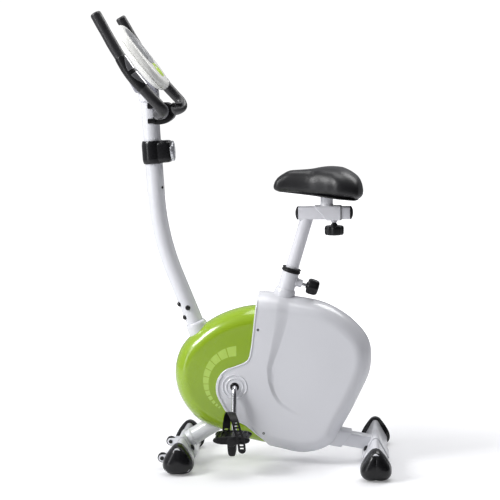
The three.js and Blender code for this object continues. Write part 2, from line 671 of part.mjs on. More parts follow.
const shroudEnd = alongRearLeg(SHROUD_IN_X);
const shroud = (grow) => rearLegBar(0, shroudEnd, REAR_LEG_WIDE + 2 * (SLIDE_GAP + grow),
  REAR_LEG_TALL + 2 * (SLIDE_GAP + grow));
const slantedEnd = plate([[REAR_FOOT_X - 72, 130], [REAR_FOOT_X - 100, 20], [FAR, 20], [FAR, 130]], -60,
  60);
addPart('rear_leg_shroud', cut(shroud(SHROUD_WALL), rearLegBar(-5, shroudEnd + 5,
  REAR_LEG_WIDE + 2 * SLIDE_GAP,
  REAR_LEG_TALL + 2 * SLIDE_GAP), slantedEnd), 'whiteShell');

// ---- Seat tube bush, seat post with its rail, and the pull pin that locks it ----
const bushIn = SEAT_POST_R + SLIDE_GAP;
const bushOut = SEAT_TUBE_R - SEAT_TUBE_WALL - GAP;
const bush = turned([[bushIn, -BUSH_DEPTH], [bushOut, -BUSH_DEPTH], [bushOut, GAP], [BUSH_R - 1, GAP],
  [BUSH_R, 3],
  [BUSH_R, BUSH_LIP - 3], [BUSH_R - 3, BUSH_LIP], [bushIn, BUSH_LIP], [bushIn, -BUSH_DEPTH]], 20);
const pinHoleThrough = rod(pinAt(8), pinAt(BOSS_OUT), PIN_R + SLIDE_GAP, 16);
addPart('seat_tube_bush', cut(aimed(bush, seatTop, seatUp), pinHoleThrough), 'blackPlastic');

function seatPost() {
  const railLow = RAIL_Z - RAIL_HALF;
  const post = rod(alongSeat(-SEAT_POST_HIDDEN), alongSeat(SEAT_POST_SHOWN + 4), SEAT_POST_R, 20);
  const bore = rod(alongSeat(-SEAT_POST_HIDDEN - 1), alongSeat(SEAT_POST_SHOWN - 20),
    SEAT_POST_R - SEAT_POST_WALL, 16);
  const rail = box(RAIL_FRONT, RAIL_REAR, -RAIL_HALF, RAIL_HALF, railLow, RAIL_Z + RAIL_HALF);
  const inner = RAIL_HALF - 2.5;
  const hollow = box(RAIL_FRONT - 1, RAIL_REAR + 1, -inner, inner, RAIL_Z - inner, RAIL_Z + inner);
  return cut(join(post, rail), hollow, bore);
}
addPart('seat_post', seatPost(), 'whitePaint');

const capIn = RAIL_HALF - 2.5 - GAP;
for (const [name, x, out] of [['front', RAIL_FRONT, -1], ['rear', RAIL_REAR, 1]]) {
  const square = (half, step) => [[-1, -1], [1, -1], [1, 1], [-1, 1]].map(([y, z]) => (
    at(x + out * step, y * half, RAIL_Z + z * half)));
  const plug = skin([square(capIn, -14), square(capIn, GAP), square(RAIL_HALF, GAP), square(RAIL_HALF, 3),
    square(RAIL_HALF * 0.8, 7), square(RAIL_HALF * 0.45, RAIL_CAP_BULGE)]);
  addPart(`rail_cap_${name}`, plug, 'blackPlastic');
}

const pin = rod(pinAt(SEAT_POST_R + 1), pinAt(PIN_KNOB_FROM + PIN_KNOB_LONG - 8), PIN_R, 16);
addPart('seat_pin', pin, 'steel');
const knobBore = PIN_R + GAP;
const boreDepth = PIN_KNOB_LONG - 8 + GAP;
const pinKnob = turned([[knobBore, 0], [PIN_KNOB_R - 4, 0], [PIN_KNOB_R, 4],
  [PIN_KNOB_R, PIN_KNOB_LONG - 10],
  [PIN_KNOB_R - 5, PIN_KNOB_LONG - 2], [0, PIN_KNOB_LONG], [0, boreDepth], [knobBore, boreDepth],
    [knobBore, 0]], 14);
stand(addPart('seat_height_knob', pinKnob, 'blackPlastic'), pinAt(PIN_KNOB_FROM), seatBack);

// ---- Saddle slider, its clamp screw and the saddle ----
function saddleLow(x) {
  const share = (x - SADDLE_NOSE) / (SADDLE_TAIL - SADDLE_NOSE);
  return SADDLE_LOW_NOSE + (SADDLE_LOW_TAIL - SADDLE_LOW_NOSE) * share;
}

const sliderIn = RAIL_HALF + SLIDE_GAP;
const sliderOut = sliderIn + SLEEVE_WALL;
const clampX = at(SLIDER_KNOB_X, 0, RAIL_Z);

function saddleSlider() {
  const top = RAIL_Z + sliderOut;
  const low = RAIL_Z - sliderOut;
  const sleeve = plate([[SLEEVE_LOW_FRONT, low], [SLEEVE_REAR, low], [SLEEVE_REAR, top],
    [SLEEVE_TOP_FRONT, top]],
    -sliderOut, sliderOut);
  const tunnel = box(0, FAR, -sliderIn, sliderIn, RAIL_Z - sliderIn, RAIL_Z + sliderIn);
  const stem = rod(at(STEM_X, 0, top - 1), at(STEM_X, 0, saddleLow(STEM_X + STEM_R) - GAP), STEM_R, 24);
  const nut = rod(clampX.clone().setZ(low - 6), clampX.clone().setZ(low + 1), 10, 16);
  const thread = rod(clampX.clone().setZ(low - 7), clampX, PIN_R + GAP, 16);
  return cut(join(sleeve, stem, nut), tunnel, thread);
}
addPart('saddle_slider', saddleSlider(), 'whitePaint');

const screwTop = RAIL_HALF + GAP; // below the rail's middle
const knobTop = sliderOut + 14;
const knobLow = knobTop + SLIDER_KNOB_TALL;
const sliderKnob = turned([[0, -knobLow], [SLIDER_KNOB_R - 3, -knobLow], [SLIDER_KNOB_R, -knobLow + 5],
  [SLIDER_KNOB_R, -knobTop - 4], [SLIDER_KNOB_R - 3, -knobTop], [9, -knobTop], [PIN_R, -knobTop + 6],
  [PIN_R, -screwTop], [0, -screwTop]], 14);
stand(addPart('slider_knob', sliderKnob, 'blackPlastic'), clampX, AXIS_Z);

// Half widths and top heights of the saddle, from its nose to its tail.
const saddleWide = smooth([[0, 13], [0.04, 24], [0.2, 36], [0.4, 52], [0.6, 84], [0.78, 107], [0.9, 103],
  [0.97, 80],
  [1, 48]].map(([share, half]) => at(share, half, 0)));
const saddleTop = smooth([[0, 812], [0.03, 828], [0.12, 847], [0.3, 856], [0.45, 857], [0.62, 864],
  [0.74, 865],
  [0.88, 859], [0.96, 842], [1, 812]].map(([share, z]) => at(share, z, 0)));
const valueAt = (curve, share) => {
  let [low, high] = [0, 1];
  for (let i = 0; i < 24; i++) {
    const half = (low + high) / 2;
    if (curve.getPoint(half).x < share) low = half;
    else high = half;
  }
  return curve.getPoint(low).y;
};

function saddleSkin(height, share0, widen) {
  const stations = [0, 0.03, 0.09, 0.2, 0.33, 0.46, 0.58, 0.7, 0.82, 0.92, 0.975, 1];
  return skin(stations.map((share) => {
    const x = SADDLE_NOSE + (SADDLE_TAIL - SADDLE_NOSE) * (share0 + share * (1 - 2 * share0));
    const half = valueAt(saddleWide, share) * widen;
    const [low, high] = height(x, share);
    return Array.from({ length: 15 }, (_, i) => {
      const turn = (Math.PI * i) / 14;
      const y = half * Math.sign(Math.cos(turn)) * Math.abs(Math.cos(turn)) ** 0.6;
      return at(x, y, low + (high - low) * Math.sin(turn) ** 0.75);
    });
  }));
}
const cushion = saddleSkin((x, share) => [saddleLow(x) + PAN_THICK, valueAt(saddleTop, share)], 0, 1);
addPart('saddle_cushion', cushion, 'vinyl');
const pan = saddleSkin((x) => [saddleLow(x), saddleLow(x) + PAN_THICK - GAP], 0.02, 0.94);
addPart('saddle_pan', pan, 'blackPlastic');

// ---- Crank, bearings, belt drive and pedals ----
const crankCentre = at(CRANK_X, 0, CRANK_Z);

function crankBar() {
  const arm = [[0, 0], [52, 0], [34, -1], [21, -13], [14, -38], [7, -75], [2, -105],
    [0, -CRANK_LENGTH]].map(([y, z], i) => (
    [i < 2 ? y : CRANK_OFFSET - y, z]));
  const half = arm.map(([y, z]) => at(0, -y, z));
  const other = arm.slice(1).map(([y, z]) => at(0, y, -z)).reverse();
  const bar = tubeThrough(smooth([...other, ...half]).getSpacedPoints(26), AXIS_X, CRANK_BAR_R, 0, 8);
  const axle = rod(at(0, -46, 0), at(0, 46, 0), CRANK_AXLE_R, 16);
  const eyes = sides.map(([, side]) => {
    const middle = at(0, side * CRANK_OFFSET, side * CRANK_LENGTH);
    const reach = CRANK_EYE_LONG / 2;
    return rod(middle.clone().add(at(0, -reach, 0)), middle.clone().add(at(0, reach, 0)), CRANK_EYE_R, 16);
  });
  const threads = sides.map(([, side]) => {
    const middle = at(0, side * CRANK_OFFSET, side * CRANK_LENGTH);
    return rod(middle.clone().add(at(0, -12, 0)), middle.clone().add(at(0, 12, 0)), SPINDLE_R + GAP, 16);
  });
  return cut(join(bar, axle, ...eyes), ...threads);
}
addPart('crank', crankBar(), 'chrome').position.copy(crankCentre);

const bearing = turned([[CRANK_AXLE_R + TURN_GAP, 0], [BEARING_R, 0], [BEARING_R, BEARING_LONG],
  [BEARING_R + 3, BEARING_LONG],
  [BEARING_R + 3, BEARING_LONG + 2], [CRANK_AXLE_R + TURN_GAP, BEARING_LONG + 2],
    [CRANK_AXLE_R + TURN_GAP, 0]], 18);
for (const [name, side] of sides) {
  const mouth = BB_HALF + GAP - BEARING_LONG;
  stand(addPart(`crank_bearing_${name}`, bearing, 'steel'), at(CRANK_X, side * mouth, CRANK_Z),
    at(0, side, 0));
}

const halfBelt = PULLEY_WIDE / 2;
function wheelDisc(r, bore, web) {
  return [[bore, -halfBelt], [bore + 14, -web], [r - 12, -web], [r - 10, -halfBelt], [r, -halfBelt],
    [r, halfBelt], [r - 10, halfBelt], [r - 12, web], [bore + 14, web], [bore, halfBelt],
    [bore, -halfBelt]];
}
stand(addPart('drive_pulley', turned(wheelDisc(PULLEY_R, CRANK_AXLE_R + GAP, 2), 30), 'blackPlastic'),
  crankCentre.clone().setY(PULLEY_Y), AXIS_Y);

const flyHalf = FLY_WIDE / 2;
const flyBore = FLY_AXLE_R + TURN_GAP;
const sleeveEnd = PULLEY_Y - FLY_Y + PULLEY_WIDE / 2;
const flywheel = turned([[flyBore, -flyHalf - 8], [20, -flyHalf - 8], [20, -6], [FLY_R - 26, -6],
  [FLY_R - 26, -flyHalf],
  [FLY_R, -flyHalf], [FLY_R, flyHalf], [FLY_R - 26, flyHalf], [FLY_R - 26, 6], [14, 6],
    [14, sleeveEnd - PULLEY_WIDE],
  [FLY_PULLEY_R, sleeveEnd - PULLEY_WIDE], [FLY_PULLEY_R, sleeveEnd], [flyBore, sleeveEnd],
    [flyBore, -flyHalf - 8]], 26);
// The lathe turns about Z, and standing it along +Y keeps its long sleeve on the rider's right.
stand(addPart('flywheel', flywheel, 'castIron'), at(FLY_X, FLY_Y, FLY_Z), AXIS_Y);
addPart('flywheel_axle', rod(at(FLY_X, DROPOUT_LEFT - 10, FLY_Z), at(FLY_X, DROPOUT_RIGHT + 5, FLY_Z),
  FLY_AXLE_R, 20), 'steel');

// A loop round both pulleys: arcs joined by the two straight runs that touch them.
function beltLoop(grow) {
  const dx = FLY_X - CRANK_X;
  const dz = FLY_Z - CRANK_Z;
  const slope = Math.atan2(dz, dx);
  const lean = Math.acos((PULLEY_R - FLY_PULLEY_R) / Math.hypot(dx, dz));
  const arc = (x, z, r, from, to, count) => Array.from({ length: count + 1 }, (_, i) => {
    const turn = from + ((to - from) * i) / count;
    return [x + r * Math.cos(turn), z + r * Math.sin(turn)];
  });
  return [
    ...arc(CRANK_X, CRANK_Z, PULLEY_R + grow, slope + lean, slope + 2 * Math.PI - lean, 32),
    ...arc(FLY_X, FLY_Z, FLY_PULLEY_R + grow, slope - lean, slope + lean, 10),
  ];
}
const beltIn = 0.6;
addPart('drive_belt', plate(beltLoop(beltIn + BELT_THICK), PULLEY_Y - BELT_WIDE / 2,
  PULLEY_Y + BELT_WIDE / 2,
  beltLoop(beltIn)), 'rubber');

// The magnet bracket is a channel over the rim, hung from a pin on the frame.
function magnetBracket() {
  const [from, to] = MAGNET_REACH.map(radians);
  const rim = FLY_R + MAGNET_CLEAR + 4;
  const arc = (r, a, b) => Array.from({ length: 13 }, (_, i) => {
    const turn = a + ((b - a) * i) / 12;
    return [r * Math.cos(turn), r * Math.sin(turn)];
  });
  const ear = radians(MAGNET_PIVOT_AT);
  const side = [...arc(rim + MAGNET_PLATE, from, to), [(rim + 14) * Math.cos(ear + 0.06),
    (rim + 14) * Math.sin(ear + 0.06)],
    [(rim - 6) * Math.cos(ear + 0.06), (rim - 6) * Math.sin(ear + 0.06)],
      ...arc(rim - MAGNET_DEEP, from, to).reverse()];
  const web = [...arc(rim + MAGNET_PLATE, from, to), ...arc(rim, from, to).reverse()];
  const inside = magnetHalf - MAGNET_PLATE;
  const hole = rod(at(magnetPivot.x - FLY_X, -60, magnetPivot.z - FLY_Z),
    at(magnetPivot.x - FLY_X, 60, magnetPivot.z - FLY_Z),
    MAGNET_PIN_R + TURN_GAP, 16);
  return cut(join(plate(web, -magnetHalf, magnetHalf), plate(side, -magnetHalf, -inside),
    plate(side, inside, magnetHalf)), hole);
}
addPart('magnet_bracket', magnetBracket(), 'steel').position.set(FLY_X, FLY_Y, FLY_Z);

for (const [name, side] of sides) {
  const pedal = new THREE.Group();
  pedal.position.set(CRANK_X, 0, CRANK_Z + side * CRANK_LENGTH);
  bike.add(pedal);
  const spindleFrom = CRANK_OFFSET - 8;
  const spindleTo = PEDAL_IN + PEDAL_WIDE - 8;
  const flange = rod(at(0, side * (CRANK_OFFSET + CRANK_EYE_LONG / 2 + GAP), 0),
    at(0, side * (PEDAL_IN - 3), 0), 10, 14);
  const shaft = rod(at(0, side * spindleFrom, 0), at(0, side * spindleTo, 0), SPINDLE_R, 14);
  addPart(`pedal_spindle_${name}`, join(shaft, flange), 'steel', pedal);

  const boat = [[-PEDAL_HALF, 2], [-PEDAL_HALF + 4, 8], [-20, PEDAL_TOP], [20, PEDAL_TOP],
    [PEDAL_HALF - 4, 8], [PEDAL_HALF, 3],
    [PEDAL_HALF - 3, -5], [30, PEDAL_LOW], [-30, PEDAL_LOW], [-PEDAL_HALF + 3, -5]];
  const tail = [[-14, PEDAL_LOW + 2], [-12, PEDAL_TAIL + 6], [-8, PEDAL_TAIL], [7, PEDAL_TAIL],
    [10, PEDAL_TAIL + 6],
    [11, PEDAL_LOW + 2]];
  const span = (low, high) => (side < 0 ? [-high, -low] : [low, high]);
  const tread = plate(boat, ...span(PEDAL_IN, PEDAL_IN + PEDAL_WIDE));
  const weight = plate(tail, ...span(PEDAL_IN + 25, PEDAL_IN + PEDAL_WIDE - 20));
  const bore = rod(at(0, side * (PEDAL_IN - 1), 0), at(0, side * (spindleTo + 1), 0),
    SPINDLE_R + TURN_GAP, 24);
  addPart(`pedal_body_${name}`, cut(join(tread, weight), bore), 'blackPlastic', pedal);

  // The strap: up the inner side, over the foot and down the outer side to a loose end.
  const inner = PEDAL_IN - GAP - STRAP_THICK / 2;
  const outer = PEDAL_IN + PEDAL_WIDE + GAP + STRAP_THICK / 2;
  const route = smooth([at(-20, inner, -4), at(-20, inner, 14), at(-17, inner + 1, 40),
    at(-12, inner + 14, 64),
    at(-4, (inner + outer) / 2, STRAP_TOP), at(6, outer - 14, 62), at(13, outer - 1, 38), at(18, outer, 14),
    at(22, outer, -4), at(24, outer, -40)]);
  const band = Array.from({ length: 27 }, (_, i) => {
    const middle = route.getPointAt(i / 26);
    const along = route.getTangentAt(i / 26);
    const out = at(0, -along.z, along.y).normalize().multiplyScalar(STRAP_THICK / 2);
    return [[-1, -1], [1, -1], [1, 1], [-1, 1]].map(([w, n]) => (
      at(middle.x + (w * STRAP_WIDE) / 2, side * (middle.y + n * out.y), middle.z + n * out.z)));
  });
  addPart(`pedal_strap_${name}`, skin(band), 'rubber', pedal);
}

// ---- Handlebar post, tension control and its cable ----
const bend = Math.tan((lowLean - topLean) / 2) * POST_BEND_R; // from the knee to each end of the bend
function postPoint(s) {
  if (s < POST_LOWER - bend) return alongPost(s);
  const arcLength = POST_BEND_R * (lowLean - topLean);
  const past = s - (POST_LOWER - bend);
  if (past > arcLength) return postKnee.clone().addScaledVector(postUpTop, bend + past - arcLength);
  const lean = lowLean - past / POST_BEND_R;
  const start = alongPost(POST_LOWER - bend);
  return start.add(at(
    -POST_BEND_R * (Math.cos(lean) - Math.cos(lowLean)), 0, POST_BEND_R * (Math.sin(lowLean)
    - Math.sin(lean))));
}
const postLength = POST_LOWER - bend + POST_BEND_R * (lowLean - topLean) + POST_UPPER - bend;
const postBelow = 12;
const postRun = Array.from({ length: 13 }, (_, i) => postPoint(-postBelow + ((postLength + postBelow)
  * i) / 12));
const tensionAt = downFromTop(TENSION_DROP / Math.cos(topLean));
const postBack = at(Math.cos(topLean), 0, Math.sin(topLean));
const behindPost = (out) => tensionAt.clone().addScaledVector(postBack, out);
const cableHoleR = 5;
const postTube = tubeThrough(postRun, AXIS_Y, POST_R, POST_R - POST_WALL, 12);
const post = cut(postTube, rod(behindPost(10), behindPost(40), cableHoleR, 12));
addPart('handlebar_post', post, 'whitePaint');

function tensionHousing() {
  const body = rod(tensionAt, behindPost(POST_R + TENSION_DEEP), TENSION_R, 20);
  const band = rod(downFromTop(TENSION_DROP / Math.cos(topLean) + BAND_TALL / 2),
    downFromTop(TENSION_DROP / Math.cos(topLean) - BAND_TALL / 2), BAND_R, 20);
  const room = rod(downFromTop(300), downFromTop(0), POST_R + SLIDE_GAP, 20);
  const socket = rod(behindPost(POST_R + TENSION_DEEP - 14), behindPost(POST_R + TENSION_DEEP + 1), 6, 16);
  return cut(join(body, band), room, socket);
}
addPart('tension_housing', tensionHousing(), 'blackPlastic');

const dial = turned([[0, -12], [5.4, -12], [5.4, GAP], [DIAL_R, GAP], [DIAL_R, DIAL_DEEP - 4],
  [DIAL_R - 3, DIAL_DEEP],
  [0, DIAL_DEEP]], 20);
stand(addPart('tension_dial', dial, 'silver'), behindPost(POST_R + TENSION_DEEP), postBack);

const seatSide = SEAT_TUBE_R + 8;
const cableRoute = smooth([behindPost(POST_R - 1), behindPost(POST_R - 7), behindPost(6).add(at(0, 0, -14)),
  tensionAt.clone().add(at(0, 0, -60)), postPoint(440), postPoint(360), postPoint(280), postPoint(200),
  postPoint(120),
  postPoint(40), postPoint(-20), alongPost(-48).add(at(12, 0, 2)), alongPost(-50).add(at(34, -3, 1)),
  at(-40, -26, 352), at(20, -seatSide, 384), at(70, -seatSide, 412), at(118, -seatSide, 424)]);
addPart('tension_cable', tubeThrough(cableRoute.getSpacedPoints(36), AXIS_Y, 2.5, 0, 8), 'rubber');

// ---- Handlebar: clamp, bar, foam, pulse plates and the clamp's T handle ----
const barAt = postTop.clone().add(at(BAR_FROM_TOP[0], 0, BAR_FROM_TOP[1]));
// Each point of the right horn: out from the middle, then along X and up from the clamp.
const HORN = [[40, 0, 0], [95, 1, 0], [150, 8, 1], [195, 21, 4], [219, 28, 13], [230, 22, 26], [233, 7, 43],
  [231, -18, 71], [227, -54, 114], [222, -79, 152], [216, -103, 191], [207, -151, 277]];
const TIP_SHORT = 5; // how far the bar stops short inside its grip
const horn = (side) => HORN.map(([y, x, z]) => at(barAt.x + x, side * y, barAt.z + z));
const barCurve = smooth([...horn(-1).reverse(), barAt.clone(), ...horn(1)]);
const clampCut = (half) => rod(at(barAt.x, -half, barAt.z), at(barAt.x, half, barAt.z), BAR_R + TURN_GAP,
  24);

const BAR_STEPS = 38; // along the whole bar, and the grips and sensors keep to the same stations
const barStation = (i) => barCurve.getPointAt(i / BAR_STEPS);
const acrossHorns = at(0.86, 0, 0.5);
// A tube round the bar from one station to another, lengthened past each end.
function roundBar(from, to, r, inner = 0, early = 0, late = 0) {
  const points = Array.from({ length: to - from + 1 }, (_, i) => barStation(from + i));
  const pull = (end, next, by) => end.addScaledVector(end.clone().sub(next).normalize(), by);
  pull(points[0], points[1], early);
  pull(points.at(-1), points.at(-2), late);
  return tubeThrough(points, acrossHorns, r, inner, 8);
}
addPart('handlebar', roundBar(0, BAR_STEPS, BAR_R, BAR_R - BAR_WALL, -TIP_SHORT, -TIP_SHORT),
  'blackPlastic');

const GRIP_STEPS = 17; // stations from the bar's tip to the inner end of the foam
const SENSOR_STEPS = [5, 8];
for (const [name, side] of sides) {
  const tip = side < 0 ? 0 : BAR_STEPS;
  const span = (a, b) => (side < 0 ? [tip + a, tip + b] : [tip - b, tip - a]);
  const short = side < 0 ? [GAP - TIP_SHORT, 5] : [5, GAP - TIP_SHORT];
  const core = roundBar(...span(0, GRIP_STEPS), BAR_R + GAP, 0, ...short);
  addPart(`grip_${name}`, cut(roundBar(...span(0, GRIP_STEPS), GRIP_R), core), 'foam');
  addPart(`pulse_sensor_${name}`, roundBar(...span(...SENSOR_STEPS), SENSOR_R, GRIP_R + SLIDE_GAP),
    'blackPlastic');
}

function handlebarClamp() {
  const front = -44;
  const back = 24;
  const outline = [[front, -30], [back - 8, -30], [back, -20], [back, 22], [back - 8, 30], [front, 30]];
  const block = plate(outline.map(([x, z]) => [barAt.x + x, barAt.z + z]), -CLAMP_HALF - 4, CLAMP_HALF + 4);
  const postRoom = rod(downFromTop(120), downFromTop(0), POST_R + SLIDE_GAP, 20);
  const screw = rod(at(barAt.x - 2, 0, barAt.z + 22), at(barAt.x + 30, 0, barAt.z + 22), 4.4, 16);
  return cut(block, postRoom, clampCut(40), screw);
}
addPart('handlebar_clamp', handlebarClamp(), 'blackPlastic');

const handleFrom = 33;
const handle = join(
  rod(at(0, 0, 0), at(handleFrom + 2, 0, 0), 4, 16),
  box(handleFrom, handleFrom + 25, -27, 27, -CLAMP_KNOB_R, CLAMP_KNOB_R));
addPart('clamp_t_handle', handle, 'blackPlastic').position.set(barAt.x, 0, barAt.z + 22);

// ---- Console: two shells, a window, a key and the bracket on the post ----
const desk = new THREE.Group();
desk.position.copy(postTop).add(at(CONSOLE_FROM_TOP[0], 0, CONSOLE_FROM_TOP[1]));
desk.rotation.y = radians(CONSOLE_PITCH);
bike.add(desk);
desk.updateMatrixWorld(true);

function consoleRing(inset, n) {
  return Array.from({ length: 24 }, (_, i) => {
    const turn = (2 * Math.PI * i) / 24;
    const power = (value) => Math.sign(value) * Math.abs(value) ** 0.8;
    return at((CONSOLE_HALF_LONG - inset) * power(Math.cos(turn)), (CONSOLE_HALF_WIDE - inset)
      * power(Math.sin(turn)), n);
  });
}

function consoleBody(grow) {
  const stations = [[48, -CONSOLE_BACK], [24, -CONSOLE_BACK + 3], [8, -CONSOLE_BACK + 9],
    [0, -CONSOLE_BACK + 18],
    [0, CONSOLE_FACE - 10], [3, CONSOLE_FACE - 3], [9, CONSOLE_FACE]];
  const last = stations.length - 1;
  return skin(stations.map(([inset, n], i) => (
    consoleRing(inset - grow, n + (i === 0 ? -grow : 0) + (i === last ? grow : 0)))));
}
const consoleShell = cut(consoleBody(0), consoleBody(-CONSOLE_WALL));
const oval = (x, halfLong, halfWide, low, high) => (
  skin([low, high].map((n) => Array.from({ length: 20 }, (_, i) => {
    const turn = (2 * Math.PI * i) / 20;
    const power = (value) => Math.sign(value) * Math.abs(value) ** 0.7;
    return at(x + halfLong * power(Math.cos(turn)), halfWide * power(Math.sin(turn)), n);
  }))));
const windowHole = oval(WINDOW_AT, WINDOW_HALF_LONG, WINDOW_HALF_WIDE, 0, CONSOLE_FACE + 5);
const keyHole = oval(BUTTON_AT, BUTTON_HALF_LONG + SLIDE_GAP, BUTTON_HALF_WIDE + SLIDE_GAP, 0,
  CONSOLE_FACE + 5);
addPart('console_back', common(consoleShell, box(-200, 200, -200, 200, -200, CONSOLE_SEAM)),
  'whiteShell', desk);
addPart('console_front', cut(common(consoleShell, box(-200, 200, -200, 200, CONSOLE_SEAM + GAP, 200)),
  windowHole, keyHole),
  'whiteShell', desk);
const lensTop = CONSOLE_FACE - CONSOLE_WALL - GAP;
addPart('console_lens', oval(WINDOW_AT, WINDOW_HALF_LONG + 4, WINDOW_HALF_WIDE + 4, lensTop - 2,
  lensTop), 'lens', desk);
addPart('mode_button', oval(BUTTON_AT, BUTTON_HALF_LONG, BUTTON_HALF_WIDE, CONSOLE_FACE - 8,
  CONSOLE_FACE + 1.5),
  'limeButton', desk);

function consoleBracket() {
  const cup = rod(downFromTop(22), downFromTop(-6), POST_R + 5, 20);
  const arm = plate([[-35.6, 2], [-58.6, 48], [-45.6, 88], [26.4, 26], [28.4, 2]].map(([x, z]) => (
    [postTop.x + x, postTop.z + z])), -26, 26);
  const room = rod(downFromTop(80), downFromTop(-GAP), POST_R + SLIDE_GAP, 20);
  const consoleRoom = consoleBody(GAP).applyMatrix4(desk.matrixWorld);
  return cut(join(cup, arm), room, consoleRoom);
}
addPart('console_bracket', consoleBracket(), 'silver');

// ---- Origin: on the floor, under the middle of the whole bike ----
bike.updateMatrixWorld(true);
const reach = new THREE.Box3().setFromObject(bike, true);
bike.position.x = -(reach.min.x + reach.max.x) / 2;

// Where each moving piece turns or slides, in the bike's own frame.
const shift = at(bike.position.x, 0, 0);
const pivot = (point, axis) => ({
  point: point.clone().add(shift).toArray(),
  axis: axis.clone().normalize().toArray(),
});
bike.userData.pivots = {
  crank: pivot(crankCentre, AXIS_Y),
  pedal_left: pivot(at(CRANK_X, 0, CRANK_Z - CRANK_LENGTH), AXIS_Y),
  pedal_right: pivot(at(CRANK_X, 0, CRANK_Z + CRANK_LENGTH), AXIS_Y),
  flywheel: pivot(at(FLY_X, 0, FLY_Z), AXIS_Y),
  magnet: pivot(magnetPivot, AXIS_Y),
  transport_wheel: pivot(at(WHEEL_X, 0, WHEEL_Z), AXIS_Y),
  seat_height: pivot(seatTop, seatUp),
  seat_pin: pivot(pinAt(0), seatBack),
  slider_knob: pivot(clampX, AXIS_Z),
  handlebar: pivot(barAt, AXIS_Y),
  clamp_handle: pivot(at(barAt.x, 0, barAt.z + 22), at(1, 0, 0)),
  tension_dial: pivot(tensionAt, postBack),
  mode_button: pivot(desk.position, at(Math.sin(radians(CONSOLE_PITCH)), 0,
    Math.cos(radians(CONSOLE_PITCH)))),
};
bike.userData.driveRatio = PULLEY_R / FLY_PULLEY_R;

export default bike;
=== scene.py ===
import json
import math

import bmesh
import bpy
import numpy as np
from mathutils import Matrix, Vector


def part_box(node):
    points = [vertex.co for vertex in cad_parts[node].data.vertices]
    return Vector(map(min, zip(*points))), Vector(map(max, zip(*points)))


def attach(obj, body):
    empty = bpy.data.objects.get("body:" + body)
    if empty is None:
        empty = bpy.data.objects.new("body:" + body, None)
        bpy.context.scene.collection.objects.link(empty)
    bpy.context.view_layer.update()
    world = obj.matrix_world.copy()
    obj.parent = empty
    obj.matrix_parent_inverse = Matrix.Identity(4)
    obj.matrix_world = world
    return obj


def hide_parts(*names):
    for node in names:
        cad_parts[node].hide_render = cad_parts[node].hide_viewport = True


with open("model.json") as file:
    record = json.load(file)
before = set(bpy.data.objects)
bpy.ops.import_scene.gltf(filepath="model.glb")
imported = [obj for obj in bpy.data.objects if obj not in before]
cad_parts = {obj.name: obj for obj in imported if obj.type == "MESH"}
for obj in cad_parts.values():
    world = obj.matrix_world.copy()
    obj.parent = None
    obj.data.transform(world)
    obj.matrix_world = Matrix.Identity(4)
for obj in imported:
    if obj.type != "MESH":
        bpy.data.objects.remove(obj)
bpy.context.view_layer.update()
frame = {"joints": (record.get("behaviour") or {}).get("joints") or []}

# ---- Studio ----
# A seamless white room, brighter above and on the left. The key light is high on the left, with a tall
# narrow one low beside it, a broad one overhead and a smaller one high behind. The camera stands about
# four metres off on the rider's left, as high as the console.
REAR_FOOT_X = 370.0  # the design frame puts the rear foot here, in millimetres
foot_low, foot_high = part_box("rear_stabiliser")
ORIGIN_X = 500 * (foot_low.x + foot_high.x) - REAR_FOOT_X
CAMERA_AT = (353.7, -4252.0, 1170.0)
CAMERA_RIGHT = (0.99677, 0.07883, -0.01514)
CAMERA_UP = (0.00503, 0.12693, 0.99190)
CAMERA_LENS = 106.6


def metres(point):
    """A point of the design frame, in millimetres, as a Vector of the scene, in metres."""
    return Vector(((point[0] + ORIGIN_X) / 1000, point[1] / 1000, point[2] / 1000))


def stage_camera():
    """Places the camera from its right and up directions; it looks along minus their cross product."""
    data = bpy.data.cameras.new("camera")
    data.lens = CAMERA_LENS
    data.clip_end = 60
    camera = bpy.data.objects.new("camera", data)
    bpy.context.scene.collection.objects.link(camera)
    right = Vector(CAMERA_RIGHT).normalized()
    back = right.cross(Vector(CAMERA_UP)).normalized()
    up = back.cross(right)
    turned_by = Matrix((right, up, back)).transposed().to_4x4()
    camera.matrix_world = Matrix.Translation(metres(CAMERA_AT)) @ turned_by
    bpy.context.scene.camera = camera


def softbox(name, at, aim, width, height, power, colour=(1, 1, 1)):
    """A rectangular area light at one point of the design frame, facing another."""
    data = bpy.data.lights.new(name, "AREA")
    data.shape = "RECTANGLE"
    data.size = width
    data.size_y = height
    data.energy = power
    data.color = colour
    light = bpy.data.objects.new(name, data)
    bpy.context.scene.collection.objects.link(light)
    light.location = metres(at)
    light.rotation_euler = (metres(aim) - light.location).to_track_quat("-Z", "Y").to_euler()


stage_camera()
softbox("key_light", (-2600, -1250, 2500), (20, 0, 450), 1.1, 1.1, 76)
softbox("side_light", (-3000, -1900, 1000), (0, 0, 450), 0.5, 2.4, 16, (0.97, 0.98, 1))
softbox("top_light", (100, 100, 3000), (60, 0, 300), 1.8, 1.4, 26)
softbox("back_light", (1300, 1300, 2600), (-100, 0, 800), 1.0, 1.2, 20)
bpy.context.scene.view_settings.view_transform = "Standard"


